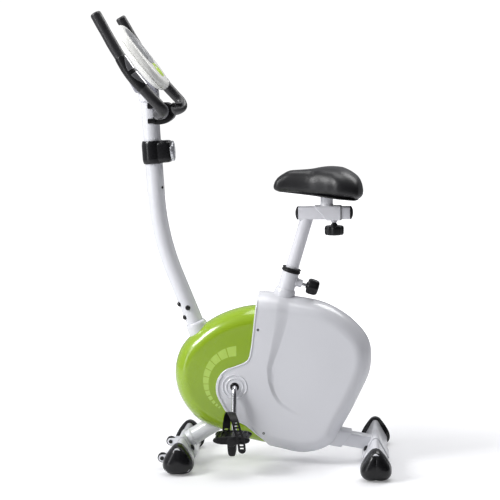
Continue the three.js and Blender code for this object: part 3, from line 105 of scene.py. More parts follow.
class Wire:
    """A socket of a node tree. Arithmetic on it adds Math nodes, and add() any other node."""

    def __init__(self, tree, socket=None):
        self.tree = tree
        self.socket = socket

    def add(self, kind, settings=(), inputs=(), output=0):
        """Adds a node, sets its settings, then the values or wires of its sockets."""
        node = self.tree.nodes.new(kind)
        for key, value in dict(settings).items():
            if key == "stops":
                ramp = node.color_ramp.elements
                while len(ramp) < len(value):
                    ramp.new(1)
                for element, (place, shade) in zip(ramp, value):
                    element.position = place
                    element.color = (shade, shade, shade, 1)
            else:
                setattr(node, key, value)
        for key, value in dict(inputs).items():
            self.plug(node.inputs[key], value)
        return Wire(self.tree, node.outputs[output])

    def plug(self, socket, value):
        if isinstance(value, Wire):
            self.tree.links.new(value.socket, socket)
        else:
            socket.default_value = value

    def math(self, operation, *values):
        return self.add("ShaderNodeMath", {"operation": operation}, dict(enumerate(values)))

    def __add__(self, other):
        return self.math("ADD", self, other)

    def __sub__(self, other):
        return self.math("SUBTRACT", self, other)

    def __rsub__(self, other):
        return self.math("SUBTRACT", other, self)

    def __mul__(self, other):
        return self.math("MULTIPLY", self, other)

    def __truediv__(self, other):
        return self.math("DIVIDE", self, other)

    def __lt__(self, other):
        return self.math("LESS_THAN", self, other)

    def __gt__(self, other):
        return self.math("GREATER_THAN", self, other)

    __radd__ = __add__
    __rmul__ = __mul__

    def axis(self, letter):
        """One of the three parts of a vector."""
        return self.add("ShaderNodeSeparateXYZ", (), {"Vector": self}, letter)

    def noise(self, place, scale, detail):
        return self.add("ShaderNodeTexNoise", (), {"Vector": place, "Scale": scale, "Detail": detail}, "Fac")

    def mix(self, mask, first, second):
        """The first colour where the mask is 0, the second where it is 1."""
        return self.add("ShaderNodeMix", {"data_type": "RGBA"}, {0: mask, 6: first, 7: second}, 2)


def shade(colour, by):
    """A colour with its three channels multiplied, and an alpha of 1."""
    return tuple(min(channel * by, 1) for channel in colour[:3]) + (1,)


def finish(name, colour, rough, metal=0.0, grain=(900, 0.02), mottle=0.06, wear=0.05, **fixed):
    """A Principled material: a broad mottle moves the colour and the roughness a little, and a fine
    grain gives the bump. grain is (features per metre, depth in millimetres)."""
    material = bpy.data.materials.new(name)
    material.use_nodes = True
    tree = material.node_tree
    shader = tree.nodes["Principled BSDF"]
    wire = Wire(tree)
    place = wire.add("ShaderNodeTexCoord", output="Object")
    broad = wire.noise(place, 9, 3)
    fine = wire.noise(place, grain[0], 3)
    wire.plug(shader.inputs["Base Color"], wire.mix(broad, shade(colour, 1 - mottle),
                                                    shade(colour, 1 + mottle)))
    wire.plug(shader.inputs["Roughness"], broad * (2 * wear) + fine * (wear / 2) + (rough - 1.25 * wear))
    shader.inputs["Metallic"].default_value = metal
    bump = wire.add("ShaderNodeBump", (), {"Height": fine, "Distance": grain[1] / 1000, "Strength": 1.0})
    wire.plug(shader.inputs["Normal"], bump)
    for key, value in fixed.items():
        shader.inputs[key.replace("_", " ")].default_value = value
    return material


world = bpy.data.worlds.new("white_room")
bpy.context.scene.world = world
world.use_nodes = True
room = world.node_tree
room.nodes.clear()
air = Wire(room)
facing = air.add("ShaderNodeTexCoord", output="Generated")
above = facing.axis("Z")
left = facing.axis("X") * -1
near = facing.axis("Y") * -1
lit = air.add("ShaderNodeMapRange", {"interpolation_type": "SMOOTHSTEP"},
              {"Value": above * 0.7 + left * 0.6 - near * 0.25, "From Min": -0.5, "From Max": 0.9,
               "To Min": 0.05, "To Max": 0.5})
seen = air.add("ShaderNodeBackground", (), {"Color": (1, 1, 1, 1), "Strength": 1.05})
felt = air.add("ShaderNodeBackground", (), {"Color": (0.94, 0.95, 1, 1), "Strength": lit})
ray = air.add("ShaderNodeLightPath", output="Is Camera Ray")
choice = air.add("ShaderNodeMixShader", (), {0: ray, 1: felt, 2: seen})
out = room.nodes.new("ShaderNodeOutputWorld")
room.links.new(choice.socket, out.inputs["Surface"])

floor_mesh = bpy.data.meshes.new("floor")
FLOOR_HALF = 9.0
corners = [(-FLOOR_HALF, -FLOOR_HALF, 0), (FLOOR_HALF, -FLOOR_HALF, 0), (FLOOR_HALF, FLOOR_HALF, 0),
           (-FLOOR_HALF, FLOOR_HALF, 0)]
floor_mesh.from_pydata(corners, [], [(0, 1, 2, 3)])
floor = bpy.data.objects.new("floor", floor_mesh)
bpy.context.scene.collection.objects.link(floor)
white_floor = finish("white_floor", (0.86, 0.86, 0.87), 0.6, grain=(60, 0.01), mottle=0.01)
glow = Wire(white_floor.node_tree)
place = glow.add("ShaderNodeTexCoord", output="Object")
reach = glow.add("ShaderNodeVectorMath", {"operation": "LENGTH"}, {0: place}, "Value")
rise = glow.add("ShaderNodeMapRange", {"interpolation_type": "SMOOTHSTEP"},
                {"Value": reach, "From Min": 0.5, "From Max": 2.4, "To Min": 0.2, "To Max": 1.15})
paint = white_floor.node_tree.nodes["Principled BSDF"]
rise = rise * glow.add("ShaderNodeLightPath", output="Is Camera Ray")
level = glow.add("ShaderNodeCombineXYZ", (), {"X": rise, "Y": rise, "Z": rise})
glow.plug(paint.inputs["Emission Color"], level)
paint.inputs["Emission Strength"].default_value = 1.0
floor_mesh.materials.append(white_floor)

# ---- Handlebar post ----
# A 50 mm steel tube, bent once towards the front and powder coated white. It slips over a neck on the
# frame and is held by bolts just above the casing.
WHITE = (0.80, 0.805, 0.84)
SIDES = (("left", -1), ("right", 1))  # the name and the sign of Y
white_paint = finish("white_paint", WHITE, 0.3, grain=(700, 0.012), mottle=0.012, Coat_Weight=0.5,
                     Coat_Roughness=0.12)
POST_FOOT = np.array((-146.0, 0, 393))
POST_R = 25.0
POST_LOWER = 298
POST_UPPER = 414
POST_BEND_R = 740
LEAN_LOW = math.radians(21.4)
LEAN_TOP = math.radians(3)
ACROSS = np.array((0, 1.0, 0))


def leaning(angle):
    """The upward unit vector of a line in the XZ plane that leans back by an angle."""
    return np.array((-math.sin(angle), 0, math.cos(angle)))


POST_UP = leaning(LEAN_LOW)
POST_UP_TOP = leaning(LEAN_TOP)
post_knee = POST_FOOT + POST_UP * POST_LOWER
post_top = post_knee + POST_UP_TOP * POST_UPPER


def along_post(s):
    return POST_FOOT + POST_UP * s


def resampled(path, count):
    """The same polyline as points at equal distances along it."""
    reach = np.concatenate(([0], np.cumsum(np.linalg.norm(np.diff(path, axis=0), axis=1))))
    even = np.linspace(0, reach[-1], count)
    return np.stack([np.interp(even, reach, path[:, k]) for k in range(path.shape[1])], axis=1)


def smooth_line(points, count, closed=False):
    """A centripetal Catmull-Rom curve: between two points it blends the parabolas through their
    neighbours, with knots spaced by the square root of the distances. Resampled evenly."""
    p = np.asarray(points, float)
    if closed:
        p = np.concatenate((p[-1:], p, p[:2]))
    else:
        p = np.concatenate((2 * p[:1] - p[1:2], p, 2 * p[-1:] - p[-2:-1]))
    a, b, c, d = p[:-3], p[1:-2], p[2:-1], p[3:]
    gaps = [np.linalg.norm(second - first, axis=1)[:, None, None] ** 0.5
            for first, second in ((a, b), (b, c), (c, d))]
    t1 = gaps[0]
    t2 = t1 + gaps[1]
    t3 = t2 + gaps[2]
    t = t1 + np.linspace(0, 1, 24, endpoint=False)[None, :, None] * (t2 - t1)
    a, b, c, d = (q[:, None, :] for q in (a, b, c, d))
    ab = (t1 - t) / t1 * a + t / t1 * b
    bc = (t2 - t) / (t2 - t1) * b + (t - t1) / (t2 - t1) * c
    cd = (t3 - t) / (t3 - t2) * c + (t - t2) / (t3 - t2) * d
    abc = (t2 - t) / t2 * ab + t / t2 * bc
    bcd = (t3 - t) / (t3 - t1) * bc + (t - t1) / (t3 - t1) * cd
    curve = ((t2 - t) / (t2 - t1) * abc + (t - t1) / (t2 - t1) * bcd).reshape(-1, p.shape[1])
    curve = np.concatenate((curve, p[1:2] if closed else p[-2:-1]))
    return resampled(curve, count + 1)[:-1] if closed else resampled(curve, count)


def loft(rings, loop=False):
    """Quads between neighbouring closed rings of points. Both ends are closed by one face each, or
    with loop the last ring joins the first."""
    rings = np.asarray(rings, float)
    rows, columns = rings.shape[:2]
    here = np.arange(rows * columns).reshape(rows, columns)
    ahead = np.roll(here, -1, axis=1)
    if loop:
        faces = np.stack([here, ahead, np.roll(ahead, -1, axis=0), np.roll(here, -1, axis=0)], axis=-1)
        return rings.reshape(-1, 3), faces.reshape(-1, 4).tolist()
    faces = np.stack([here[:-1], ahead[:-1], ahead[1:], here[1:]], axis=-1).reshape(-1, 4).tolist()
    return rings.reshape(-1, 3), faces + [here[0, ::-1].tolist(), here[-1].tolist()]


def pipe(path, radius, sides=40, across=ACROSS, soft=3.0, flat=1.0):
    """Circles square to a path, each turned so that its first axis stays along one direction. soft is
    the rounding of the end edges, and flat squeezes the circles along the other axis."""
    path = np.asarray(path, float)
    radius = np.broadcast_to(np.asarray(radius, float), len(path)).copy()
    along = np.gradient(path, axis=0)
    along /= np.linalg.norm(along, axis=1)[:, None]
    turn = np.radians((90, 60, 30, 0))[:, None]
    first = path[0] + along[0] * soft * (1 - np.sin(turn))
    last = path[-1] - along[-1] * soft * (1 - np.sin(turn[::-1]))
    shrink = soft * (1 - np.cos(turn[:, 0]))
    path = np.concatenate((first, path[1:-1], last))
    along = np.concatenate((np.repeat(along[:1], 4, 0), along[1:-1], np.repeat(along[-1:], 4, 0)))
    radius = np.concatenate((radius[0] - shrink, radius[1:-1], radius[-1] - shrink[::-1]))
    u = across - (along @ across)[:, None] * along
    u /= np.linalg.norm(u, axis=1)[:, None]
    v = np.cross(along, u) * flat
    angle = np.linspace(0, 2 * math.pi, sides, endpoint=False)
    ring = np.cos(angle)[None, :, None] * u[:, None] + np.sin(angle)[None, :, None] * v[:, None]
    return loft(path[:, None] + radius[:, None, None] * ring)


def rod(start, end, radius, sides=40, soft=1.0, across=ACROSS):
    start, end = np.asarray(start, float), np.asarray(end, float)
    if np.linalg.norm(np.cross(end - start, across)) < 1e-6:
        across = np.array((1.0, 0, 0))
    return pipe(np.stack((start, (start + end) / 2, end)), radius, sides, across, soft)


def together(*shapes):
    """Several shapes as one list of points and one of faces."""
    points, faces, start = [], [], 0
    for shape_points, shape_faces in shapes:
        points.append(np.asarray(shape_points, float))
        faces += [[corner + start for corner in face] for face in shape_faces]
        start += len(shape_points)
    return np.concatenate(points), faces


def piece(name, shape, material, body, replaces=(), crease=40):
    """Makes a finished piece from points in the design frame. Its faces are turned outward, and its
    shading is smooth up to the crease angle."""
    mesh = bpy.data.meshes.new(name)
    points, faces = shape
    mesh.from_pydata(((points + (ORIGIN_X, 0, 0)) / 1000).tolist(), [], faces)
    work = bmesh.new()
    work.from_mesh(mesh)
    bmesh.ops.recalc_face_normals(work, faces=work.faces)
    work.to_mesh(mesh)
    work.free()
    mesh.shade_smooth()
    mesh.set_sharp_from_angle(angle=math.radians(crease))
    mesh.materials.append(material)
    made = bpy.data.objects.new(name, mesh)
    bpy.context.scene.collection.objects.link(made)
    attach(made, body)
    if replaces:
        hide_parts(*replaces)
    return made


def post_path(count):
    """The straight foot, the arc and the straight top of the post, sampled evenly."""
    reach = math.tan((LEAN_LOW - LEAN_TOP) / 2) * POST_BEND_R
    lean = np.linspace(LEAN_LOW, LEAN_TOP, 24)
    start = along_post(POST_LOWER - reach)
    arc = start + POST_BEND_R * np.stack(
        (math.cos(LEAN_LOW) - np.cos(lean), 0 * lean, math.sin(LEAN_LOW) - np.sin(lean)), axis=1)
    return resampled(np.concatenate(([along_post(-12)], arc, [post_top])), count)


piece("post_tube", pipe(post_path(80), POST_R, 56, soft=1.5), white_paint, "bike_body",
      ["handlebar_post"])

# ---- Casing ----
# Four moulded ABS shells, 3 mm thick, screwed together from the sides: green at the front, and white
# behind, lapping over the green with a raised lip. A shallow step runs down the white side, and a wall
# closes the gap behind the lip above and below the green.
FRONT_OUTLINE = [(19, 466), (-76, 441), (-147, 396), (-198, 340), (-216, 273), (-202, 198), (-152, 130),
                 (-83, 97), (8, 67), (90, 56), (180, 84), (250, 170), (262, 290), (200, 400), (110, 455)]
REAR_OUTLINE = [(30, 505), (143, 492), (230, 472), (307, 423), (353, 361), (356, 282), (322, 199), (280, 120),
                (240, 55), (164, 30), (83, 44), (0, 66), (-84, 93), (-156, 127), (-206, 196), (-220, 273),
                (-202, 343), (-150, 401), (-75, 462)]
EDGE_LINE = [(36, 540), (32, 505), (24, 442), (18, 393), (12, 348), (2, 316), (-34, 298), (-63, 287),
             (-81, 268),
             (-90, 244), (-89, 215), (-79, 191), (-65, 166), (-49, 144), (-4, 120), (24, 95), (50, 70),
             (70, 30)]
STEP_LINE = [(96, 520), (92, 496), (82, 414), (69, 344), (57, 291), (61, 250), (71, 216), (87, 190),
             (120, 166), (167, 141)]
CASING_MIDDLE = np.array((60.0, 260.0))  # every outline is seen from here at one distance per angle
FRONT_DEPTH = 62.0
REAR_DEPTH = 65.5
EDGE_ROUND = 46.0
CROWN = 3.0
CASING_WALL = 3.0
LAP = 6.0
LIP_HIGH = 2.0
LIP_WIDE = 5.6
STEP_DEEP = 6.0
SEAM = 0.2
LIME = (0.30, 0.47, 0.004)
LIME_PRINT = (0.50, 0.72, 0.10)
outlines = {key: smooth_line(line, 400, key != "edge") for key, line in
            (("front", FRONT_OUTLINE), ("rear", REAR_OUTLINE), ("edge", EDGE_LINE))}


def reach_of(line, angles):
    """Distance from the casing's middle to a line at given angles, by interpolation of its polar form."""
    x, z = (line - CASING_MIDDLE).T
    turn = np.degrees(np.arctan2(z, x)) % 360
    order = np.argsort(turn)
    return np.interp(angles, turn[order], np.hypot(x, z)[order], period=360)


def distance_to(line, points, closed=True):
    """Shortest distance from each point of a grid to a polyline: the foot on each segment is clamped to
    its ends, and the nearest foot counts."""
    start = line
    end = np.roll(line, -1, axis=0)
    if not closed:
        start, end = start[:-1], end[:-1]
    step = end - start
    flat = points.reshape(-1, 1, 2)
    share = np.clip(((flat - start) * step).sum(-1) / (step * step).sum(-1), 0, 1)
    gap = flat - start - share[..., None] * step
    return np.sqrt((gap * gap).sum(-1).min(-1)).reshape(points.shape[:-1])


def ease(value):
    """0 below 0, 1 above 1, and a smooth S between."""
    value = np.clip(value, 0, 1)
    return value * value * (3 - 2 * value)


def pillow(points, outline, depth):
    """Height of a round-edged pillow: a quarter ellipse of the distance in from its outline, then a low
    crown."""
    inside = distance_to(outline, points)
    rise = np.clip(inside / EDGE_ROUND, 0, 1)
    return depth * np.sqrt(1 - (1 - rise) ** 2) + CROWN * ease((inside - EDGE_ROUND) / 110)


def step_down(points):
    """The shallow step of the white side, wide and deep at the top and running out at the bottom."""
    line = np.array(STEP_LINE, float)[::-1]
    x, z = points[..., 0], points[..., 1]
    wide = 12 + 24 * ease((z - 240) / 220)
    past = (x - np.interp(z, line[:, 1], line[:, 0])) / wide
    return STEP_DEEP * (0.4 * ease(past) + 0.6 * np.clip(past, 0, 1)) * ease((z - 130) / 110)


def walled(points, side, along, turning):
    """A second skin a wall's thickness inside the first, moved along the normals, which are the cross
    product of the grid's two directions and always have a share outward from the middle plane."""
    normal = np.cross(along, turning)
    normal /= np.maximum(np.linalg.norm(normal, axis=-1, keepdims=True), 1e-9)
    middle = np.array((CASING_MIDDLE[0], 0, CASING_MIDDLE[1]))
    outward = ((points - middle) * normal).sum(-1, keepdims=True)
    return points - CASING_WALL * normal * np.sign(outward)


def rear_shell(side):
    """White shell: rays from the middle out to the outline or the lip, whichever is nearer."""
    angles = np.linspace(0, 360, 520, endpoint=False)
    limit = np.minimum(reach_of(outlines["rear"], angles), reach_of(outlines["edge"], angles))
    on_edge = (angles > 92) & (angles < 273)
    limit = np.where(on_edge, limit, reach_of(outlines["rear"], angles))
    near = np.array((0, 0.04, 0.16, 0.36, 0.64, 1, 1.5, 2.1, 2.8, 3.6, 4.6, 6, 8, 10.5, 13.5, 17, 22, 28, 36,
                     46))
    share = np.linspace(0, 1, 35)[1:, None]
    radius = np.concatenate((limit - near[:, None], (limit - near[-1]) * (1 - share) + 0.05))
    turn = np.radians(angles)
    flat = CASING_MIDDLE + radius[..., None] * np.stack((np.cos(turn), np.sin(turn)), axis=-1)
    lip = distance_to(outlines["edge"], flat, closed=False)
    height = pillow(flat, outlines["rear"], REAR_DEPTH) - step_down(flat)
    height += LIP_HIGH * np.clip(1 - ((lip - LIP_WIDE / 2) / (LIP_WIDE / 2)) ** 2, 0, 1)
    height = np.maximum(height, SEAM)
    outer = np.stack((flat[..., 0], side * height, flat[..., 1]), axis=-1)
    turning = np.roll(outer, -1, axis=1) - np.roll(outer, 1, axis=1)
    inner = walled(outer, side, np.gradient(outer, axis=0), turning)
    return loft(np.concatenate((outer, inner[::-1])), loop=True)


def front_shell(side):
    """Green shell: strips from under the white lip out to the outline, one for each angle."""
    angles = np.linspace(97.5, 267.5, 420)
    inner_reach = reach_of(outlines["edge"], angles) - LAP
    outer_reach = reach_of(outlines["front"], angles)
    share = 1 - (1 - np.linspace(0, 1, 44)) ** 2.2
    radius = inner_reach[:, None] + (outer_reach - inner_reach)[:, None] * share
    turn = np.radians(angles)[:, None]
    flat = CASING_MIDDLE + np.stack((radius * np.cos(turn), radius * np.sin(turn)), axis=-1)
    height = np.maximum(pillow(flat, outlines["front"], FRONT_DEPTH), SEAM)
    outer = np.stack((flat[..., 0], side * height, flat[..., 1]), axis=-1)
    inner = walled(outer, side, np.gradient(outer, axis=1), np.gradient(outer, axis=0))
    return loft(np.concatenate((outer, inner[:, ::-1]), axis=1))


def green_print(material):
    """Prints a fan of twelve blocks on the green: polar coordinates about a centre, a width that grows
    along the arc, and gaps where the block number's fraction is small."""
    tree = material.node_tree
    shader = tree.nodes["Principled BSDF"]
    wire = Wire(tree)
    place = wire.add("ShaderNodeTexCoord", output="Object")
    x = place.axis("X") * 1000 - (PRINT_MIDDLE[0] + ORIGIN_X)
    z = place.axis("Z") * 1000 - PRINT_MIDDLE[1]
    radius = wire.math("SQRT", x * x + z * z)
    angle = wire.math("ARCTAN2", z, x * -1) * (180 / math.pi)
    share = (angle - PRINT_FROM) / (PRINT_TO - PRINT_FROM)
    blocks = wire.math("POWER", wire.math("MAXIMUM", share, 0.0), PRINT_CROWD) * PRINT_BLOCKS
    gap = 0.46 - wire.math("MINIMUM", share * 1.1, 0.36)
    inside = (share > 0.0) * (share < 1.0) * (wire.math("FRACT", blocks) > gap)
    width = share * (PRINT_WIDE_END - PRINT_WIDE_START) + PRINT_WIDE_START
    inside = inside * (radius > PRINT_R) * (radius < width + PRINT_R)
    base = shader.inputs["Base Color"].links[0].from_socket
    wire.plug(shader.inputs["Base Color"], wire.mix(inside, Wire(tree, base), LIME_PRINT + (1,)))


PRINT_MIDDLE = (-30.0, 244.0)
PRINT_R = 82.5
PRINT_FROM = -56.0
PRINT_TO = 90.0
PRINT_BLOCKS = 12
PRINT_CROWD = 0.72
PRINT_WIDE_START = 6.0
PRINT_WIDE_END = 30.0
green_shell = finish("green_shell", LIME, 0.26, grain=(500, 0.008), mottle=0.02, Coat_Weight=0.8,
                     Coat_Roughness=0.06)
green_print(green_shell)
white_shell = finish("white_shell", WHITE, 0.3, grain=(500, 0.008), mottle=0.01, Coat_Weight=0.6,
                     Coat_Roughness=0.1)


def black_finish(name, rough, grain, **more):
    """The one black that all the dark mouldings, rubbers and screws share, under a weak gloss."""
    return finish(name, (0.006, 0.006, 0.0068), rough, grain=grain, Specular_IOR_Level=0.32, **more)


black_screw = black_finish("black_screw", 0.35, (1500, 0.01))


def standing(shape, at, along, across=ACROSS):
    """Turns a shape made along +Z so that its Z runs along one direction and its X near another."""
    w = np.asarray(along, float) / np.linalg.norm(along)
    u = np.asarray(across, float) - np.dot(across, w) * w
    if np.linalg.norm(u) < 1e-6:
        u = np.cross(w, (0, 0, 1.0))
    u /= np.linalg.norm(u)
    points, faces = shape
    return points @ np.stack((u, np.cross(w, u), w)) + np.asarray(at, float), faces


def rounded(points, radius, closed=True, steps=4):
    """Rounds the corners of a polyline with a parabola between points set back along both sides, by
    the radius or at most 0.45 of the side."""
    p = np.asarray(points, float)
    radius = np.broadcast_to(np.asarray(radius, float), len(p))
    before = np.roll(p, 1, axis=0) - p
    after = np.roll(p, -1, axis=0) - p
    lengths = [np.maximum(np.linalg.norm(side, axis=1), 1e-9) for side in (before, after)]
    back = np.minimum(radius, 0.45 * np.minimum(*lengths))
    start = p + before * (back / lengths[0])[:, None]
    end = p + after * (back / lengths[1])[:, None]
    t = np.linspace(0, 1, steps)[None, :, None]
    arcs = (1 - t) ** 2 * start[:, None] + 2 * t * (1 - t) * p[:, None] + t * t * end[:, None]
    if not closed:
        return np.concatenate((p[:1], arcs[1:-1].reshape(-1, p.shape[1]), p[-1:]))
    return arcs.reshape(-1, p.shape[1])


def turned(profile, sides=48, round_by=0.0, lobes=0, lobe_deep=0.0, lobe_from=0.0):
    """Turns a profile of (radius, height) about Z. Radii over lobe_from swell and shrink round the turn
    as a cosine with that many lobes. A profile that ends where it starts makes a ring."""
    line = np.asarray(profile, float)
    ring = bool(np.allclose(line[0], line[-1]))
    if ring:
        line = rounded(line[:-1], round_by)
    else:
        line = rounded(line, round_by, closed=False)
    angle = np.linspace(0, 2 * math.pi, sides, endpoint=False)
    radius = np.maximum(line[:, :1], 0.02)
    radius = radius * (1 + np.where(radius > lobe_from, lobe_deep, 0) * np.cos(lobes * angle))
    points = np.stack((radius * np.cos(angle), radius * np.sin(angle), line[:, 1:] + 0 * angle), axis=-1)
    return loft(points, loop=ring)


def screw_head(radius, high, slot_r=0.0):
    """A domed head with a round socket in its top."""
    profile = [(0, -2.5), (radius, -2.5), (radius, high * 0.35), (radius * 0.75, high * 0.85), (slot_r, high),
               (slot_r, high - 1.4), (0, high - 1.4)]
    return turned(profile, 28, 0.5)


def bored(shell, at, along, radius, half):
    """Cuts a round hole through a piece, with a Boolean whose result is kept."""
    drill = bpy.data.meshes.new("drill")
    points, faces = standing(turned([(0, -half), (radius, -half), (radius, half), (0, half)], 64), at, along,
                             ALONG_X)
    drill.from_pydata([metres(point) for point in points], [], [tuple(int(k) for k in face)
                                                                for face in faces])
    cutter = bpy.data.objects.new("drill", drill)
    bpy.context.scene.collection.objects.link(cutter)
    hole = shell.modifiers.new("hole", "BOOLEAN")
    hole.object = cutter
    hole.solver = "EXACT"
    take_shape(shell)
    bpy.data.objects.remove(cutter)


def take_shape(shown):
    """Replaces a piece's mesh with what its modifiers make of it, and drops them."""
    made = bpy.data.meshes.new_from_object(shown.evaluated_get(bpy.context.evaluated_depsgraph_get()))
    shown.modifiers.clear()
    shown.data = made


def bulkhead(line):
    """A wall across the casing just behind part of the lip, as wide at each point as the white shell
    is there, so that nobody looks in over the lower green shell."""
    normal = np.gradient(line, axis=0)[:, ::-1] * (1, -1)
    normal /= np.linalg.norm(normal, axis=1)[:, None]
    normal *= np.sign((normal * (np.array((140, 250)) - line)).sum(axis=1))[:, None]
    half = np.maximum(pillow(line, outlines["rear"], REAR_DEPTH) - step_down(line) - 1.4, 0.3)
    near, far = line + 2.2 * normal, line + 4.6 * normal
    corners = [(near, -half), (near, half), (far, half), (far, -half)]
    return loft(np.stack([np.stack((flat[:, 0], y, flat[:, 1]), axis=-1) for flat, y in corners], axis=1))


ALONG_X = np.array((1.0, 0, 0))
crank_at = np.array(next(joint["pos_m"] for joint in frame["joints"] if joint["name"] == "crank_spin")) * 1000
CRANK = np.array((crank_at[0] - ORIGIN_X, 0, crank_at[2]))
RING_R = 36.0
CRANK_HOLE_R = 13.4
CRANK_HOLE_AT = 60.0
CRANK_HOLE_HALF = 25.0
OPEN_ABOVE = 385.0  # the lip stands clear of the green shell above and below these heights
OPEN_BELOW = 105.0
SCREWS = ((34, 404), (46, 99))
lip_line = resampled(np.array(outlines["edge"], float), 600)
from_middle = lip_line - CASING_MIDDLE
lip_turn = np.degrees(np.arctan2(from_middle[:, 1], from_middle[:, 0])) % 360
lip_line = lip_line[np.linalg.norm(from_middle, axis=1) < reach_of(outlines["rear"], lip_turn) - 0.6]
piece("casing_bulkheads", together(bulkhead(lip_line[lip_line[:, 1] > OPEN_ABOVE]),
                                   bulkhead(lip_line[lip_line[:, 1] < OPEN_BELOW])),
      white_shell, "bike_body")
for side_name, side in SIDES:
    piece(f"green_shell_{side_name}", front_shell(side), green_shell, "bike_body",
          [f"front_casing_{side_name}"], crease=50)
    white_side = piece(f"white_shell_{side_name}", rear_shell(side), white_shell, "bike_body",
                       [f"rear_casing_{side_name}"], crease=50)
    bored(white_side, CRANK + (0, side * CRANK_HOLE_AT, 0), (0, side, 0), CRANK_HOLE_R, CRANK_HOLE_HALF)
    flank = REAR_DEPTH + CROWN
    dish = [(13, -2), (RING_R + 1, -2), (RING_R + 1, 1.4), (RING_R - 1.5, 2.2), (RING_R - 4.5, -0.6),
            (27, 0.2), (24.5, 2.2), (21, -0.3), (16, 0.2), (13, 1.2), (13, -2)]
    piece(f"crank_ring_{side_name}", standing(turned(dish, 72, 0.8), (CRANK[0], side * flank, CRANK[2]),
                                              (0, side, 0)),
          white_shell, "bike_body")
    for k, (x, z) in enumerate(SCREWS):
        spot = np.array([[x, z]], float)
        level = float((pillow(spot, outlines["rear"], REAR_DEPTH) - step_down(spot))[0])
        piece(f"casing_screw_{side_name}_{k}", standing(screw_head(3.6, 1.2, 1.6), (x, side * level, z),
                                                        (0, side, 0)),
              black_screw, "bike_body")

# ---- Frame ----
# One weldment of 50 mm round tube and 36 by 42 mm square tube, powder coated white: a front leg, a rear
# leg, a neck for the post, a leaning seat tube, the crank shell and the plates that hold the flywheel.
FRAME_NODE = np.array((-42.0, 0, 150))
FRONT_FOOT_X = -195.0
FRONT_RISE = math.radians(31.5)
REAR_FALL = math.radians(10.2)
LEG_R = 25.0
REAR_LEG_TALL = 42.0
REAR_LEG_WIDE = 36.0
SEAT_TOP = np.array((127.0, 0, 563))
SEAT_LEAN = math.radians(17)
SEAT_UP = leaning(-SEAT_LEAN)
SEAT_BACK = np.array((math.cos(SEAT_LEAN), 0, -math.sin(SEAT_LEAN)))
SEAT_TUBE_R = 25.0
SEAT_BORE_R = 22.5
SEAT_TUBE_LONG = 440.0
NECK_R = 21.9
NECK_BORE_R = 18.9
NECK_FROM = -262.0
NECK_TO = 85.0
MAGNET_REACH = 128.0
MAGNET_TURN = math.radians(101)
PIN_DROP = 24.0
BOSS_R = 12.0
BOSS_OUT = 42.0
FOOT_TUBE_HALF = 36.0
FOOT_TUBE_LOW = 10.0
FOOT_TUBE_TOP = 80.0
SADDLE_PLATE_HALF = 48.0
ALONG_Z = np.array((0, 0, 1.0))


def along_seat(s):
    return SEAT_TOP + SEAT_UP * s


def pin_at(out):
    return along_seat(-PIN_DROP) + SEAT_BACK * out


def inset(outline, by):
    """Moves each point of a closed outline inward along the mean normal of its two edges, by a distance
    divided by the cosine of half the turn there."""
    p = np.asarray(outline, float)
    edge = np.roll(p, -1, axis=0) - p
    turning = np.sign((p[:, 0] * np.roll(p[:, 1], -1) - np.roll(p[:, 0], -1) * p[:, 1]).sum())
    normal = turning * np.stack((-edge[:, 1], edge[:, 0]), axis=1) / np.linalg.norm(edge, axis=1)[:, None]
    mean = normal + np.roll(normal, 1, axis=0)
    mean /= np.maximum((mean * mean).sum(1, keepdims=True) / 2, 0.3)
    return p + mean * by


def bar(outline, start, end, across=ACROSS, soft=1.0):
    """Carries a closed outline straight from one point to another. Its first coordinate runs along
    across, and its end edges are rounded by insetting a quarter circle."""
    start, end = np.asarray(start, float), np.asarray(end, float)
    along = (end - start) / np.linalg.norm(end - start)
    u = np.asarray(across, float) - np.dot(across, along) * along
    u /= np.linalg.norm(u)
    v = np.cross(u, along)
    rings = []
    for place, direction in ((start, 1), (end, -1)):
        for turn in ((0, 30, 60, 90) if direction > 0 else (90, 60, 30, 0)):
            flat = inset(outline, soft * (1 - math.sin(math.radians(turn))))
            step = place + direction * along * soft * (1 - math.cos(math.radians(turn)))
            rings.append(step + flat[:, :1] * u + flat[:, 1:] * v)
    return loft(rings)


def slab(outline, low, high, soft=1.0):
    """An outline in X and Z, carried across the bike from one Y to another."""
    return bar(outline, (0, low, 0), (0, high, 0), ALONG_X, soft)


def rectangle(half_wide, half_tall, radius, steps=5):
    corners = [(-half_wide, -half_tall), (half_wide, -half_tall), (half_wide, half_tall),
               (-half_wide, half_tall)]
    return rounded(corners, radius, steps=steps)


def tent(grow):
    """Half of a foot tube's outline, from its low right corner up to the ridge."""
    half, low, top = FOOT_TUBE_HALF + grow, FOOT_TUBE_LOW - grow, FOOT_TUBE_TOP + grow
    return np.array(((half - 7, low), (half, low + 8), (half - 1, low + 18), (9 + grow / 2, top - 5),
                     (4, top)))


def mirrored(half):
    """Joins a right half outline with its mirror image about X = 0."""
    half = np.asarray(half, float)
    return np.concatenate((half, (half * (-1, 1))[::-1]))


def saddle_plate(x):
    """A 3 mm plate bent over a foot tube and cut off level below: an outer path and an inner one."""
    outer, inner = tent(3.3), tent(0.3)
    outer[0] = outer[1] = (FOOT_TUBE_HALF + 3.3, FOOT_TUBE_LOW + 12)
    inner[0] = inner[1] = (FOOT_TUBE_HALF + 0.3, FOOT_TUBE_LOW + 12)
    over = rounded(mirrored(outer[1:]), (1, 5, 7, 6, 6, 7, 5, 1))
    under = rounded(mirrored(inner[1:]), (0.2, 5, 5, 4, 4, 5, 5, 0.2))
    band = np.concatenate((over, under[::-1])) + (x, 0)
    return slab(band, -SADDLE_PLATE_HALF, SADDLE_PLATE_HALF, 0.4)


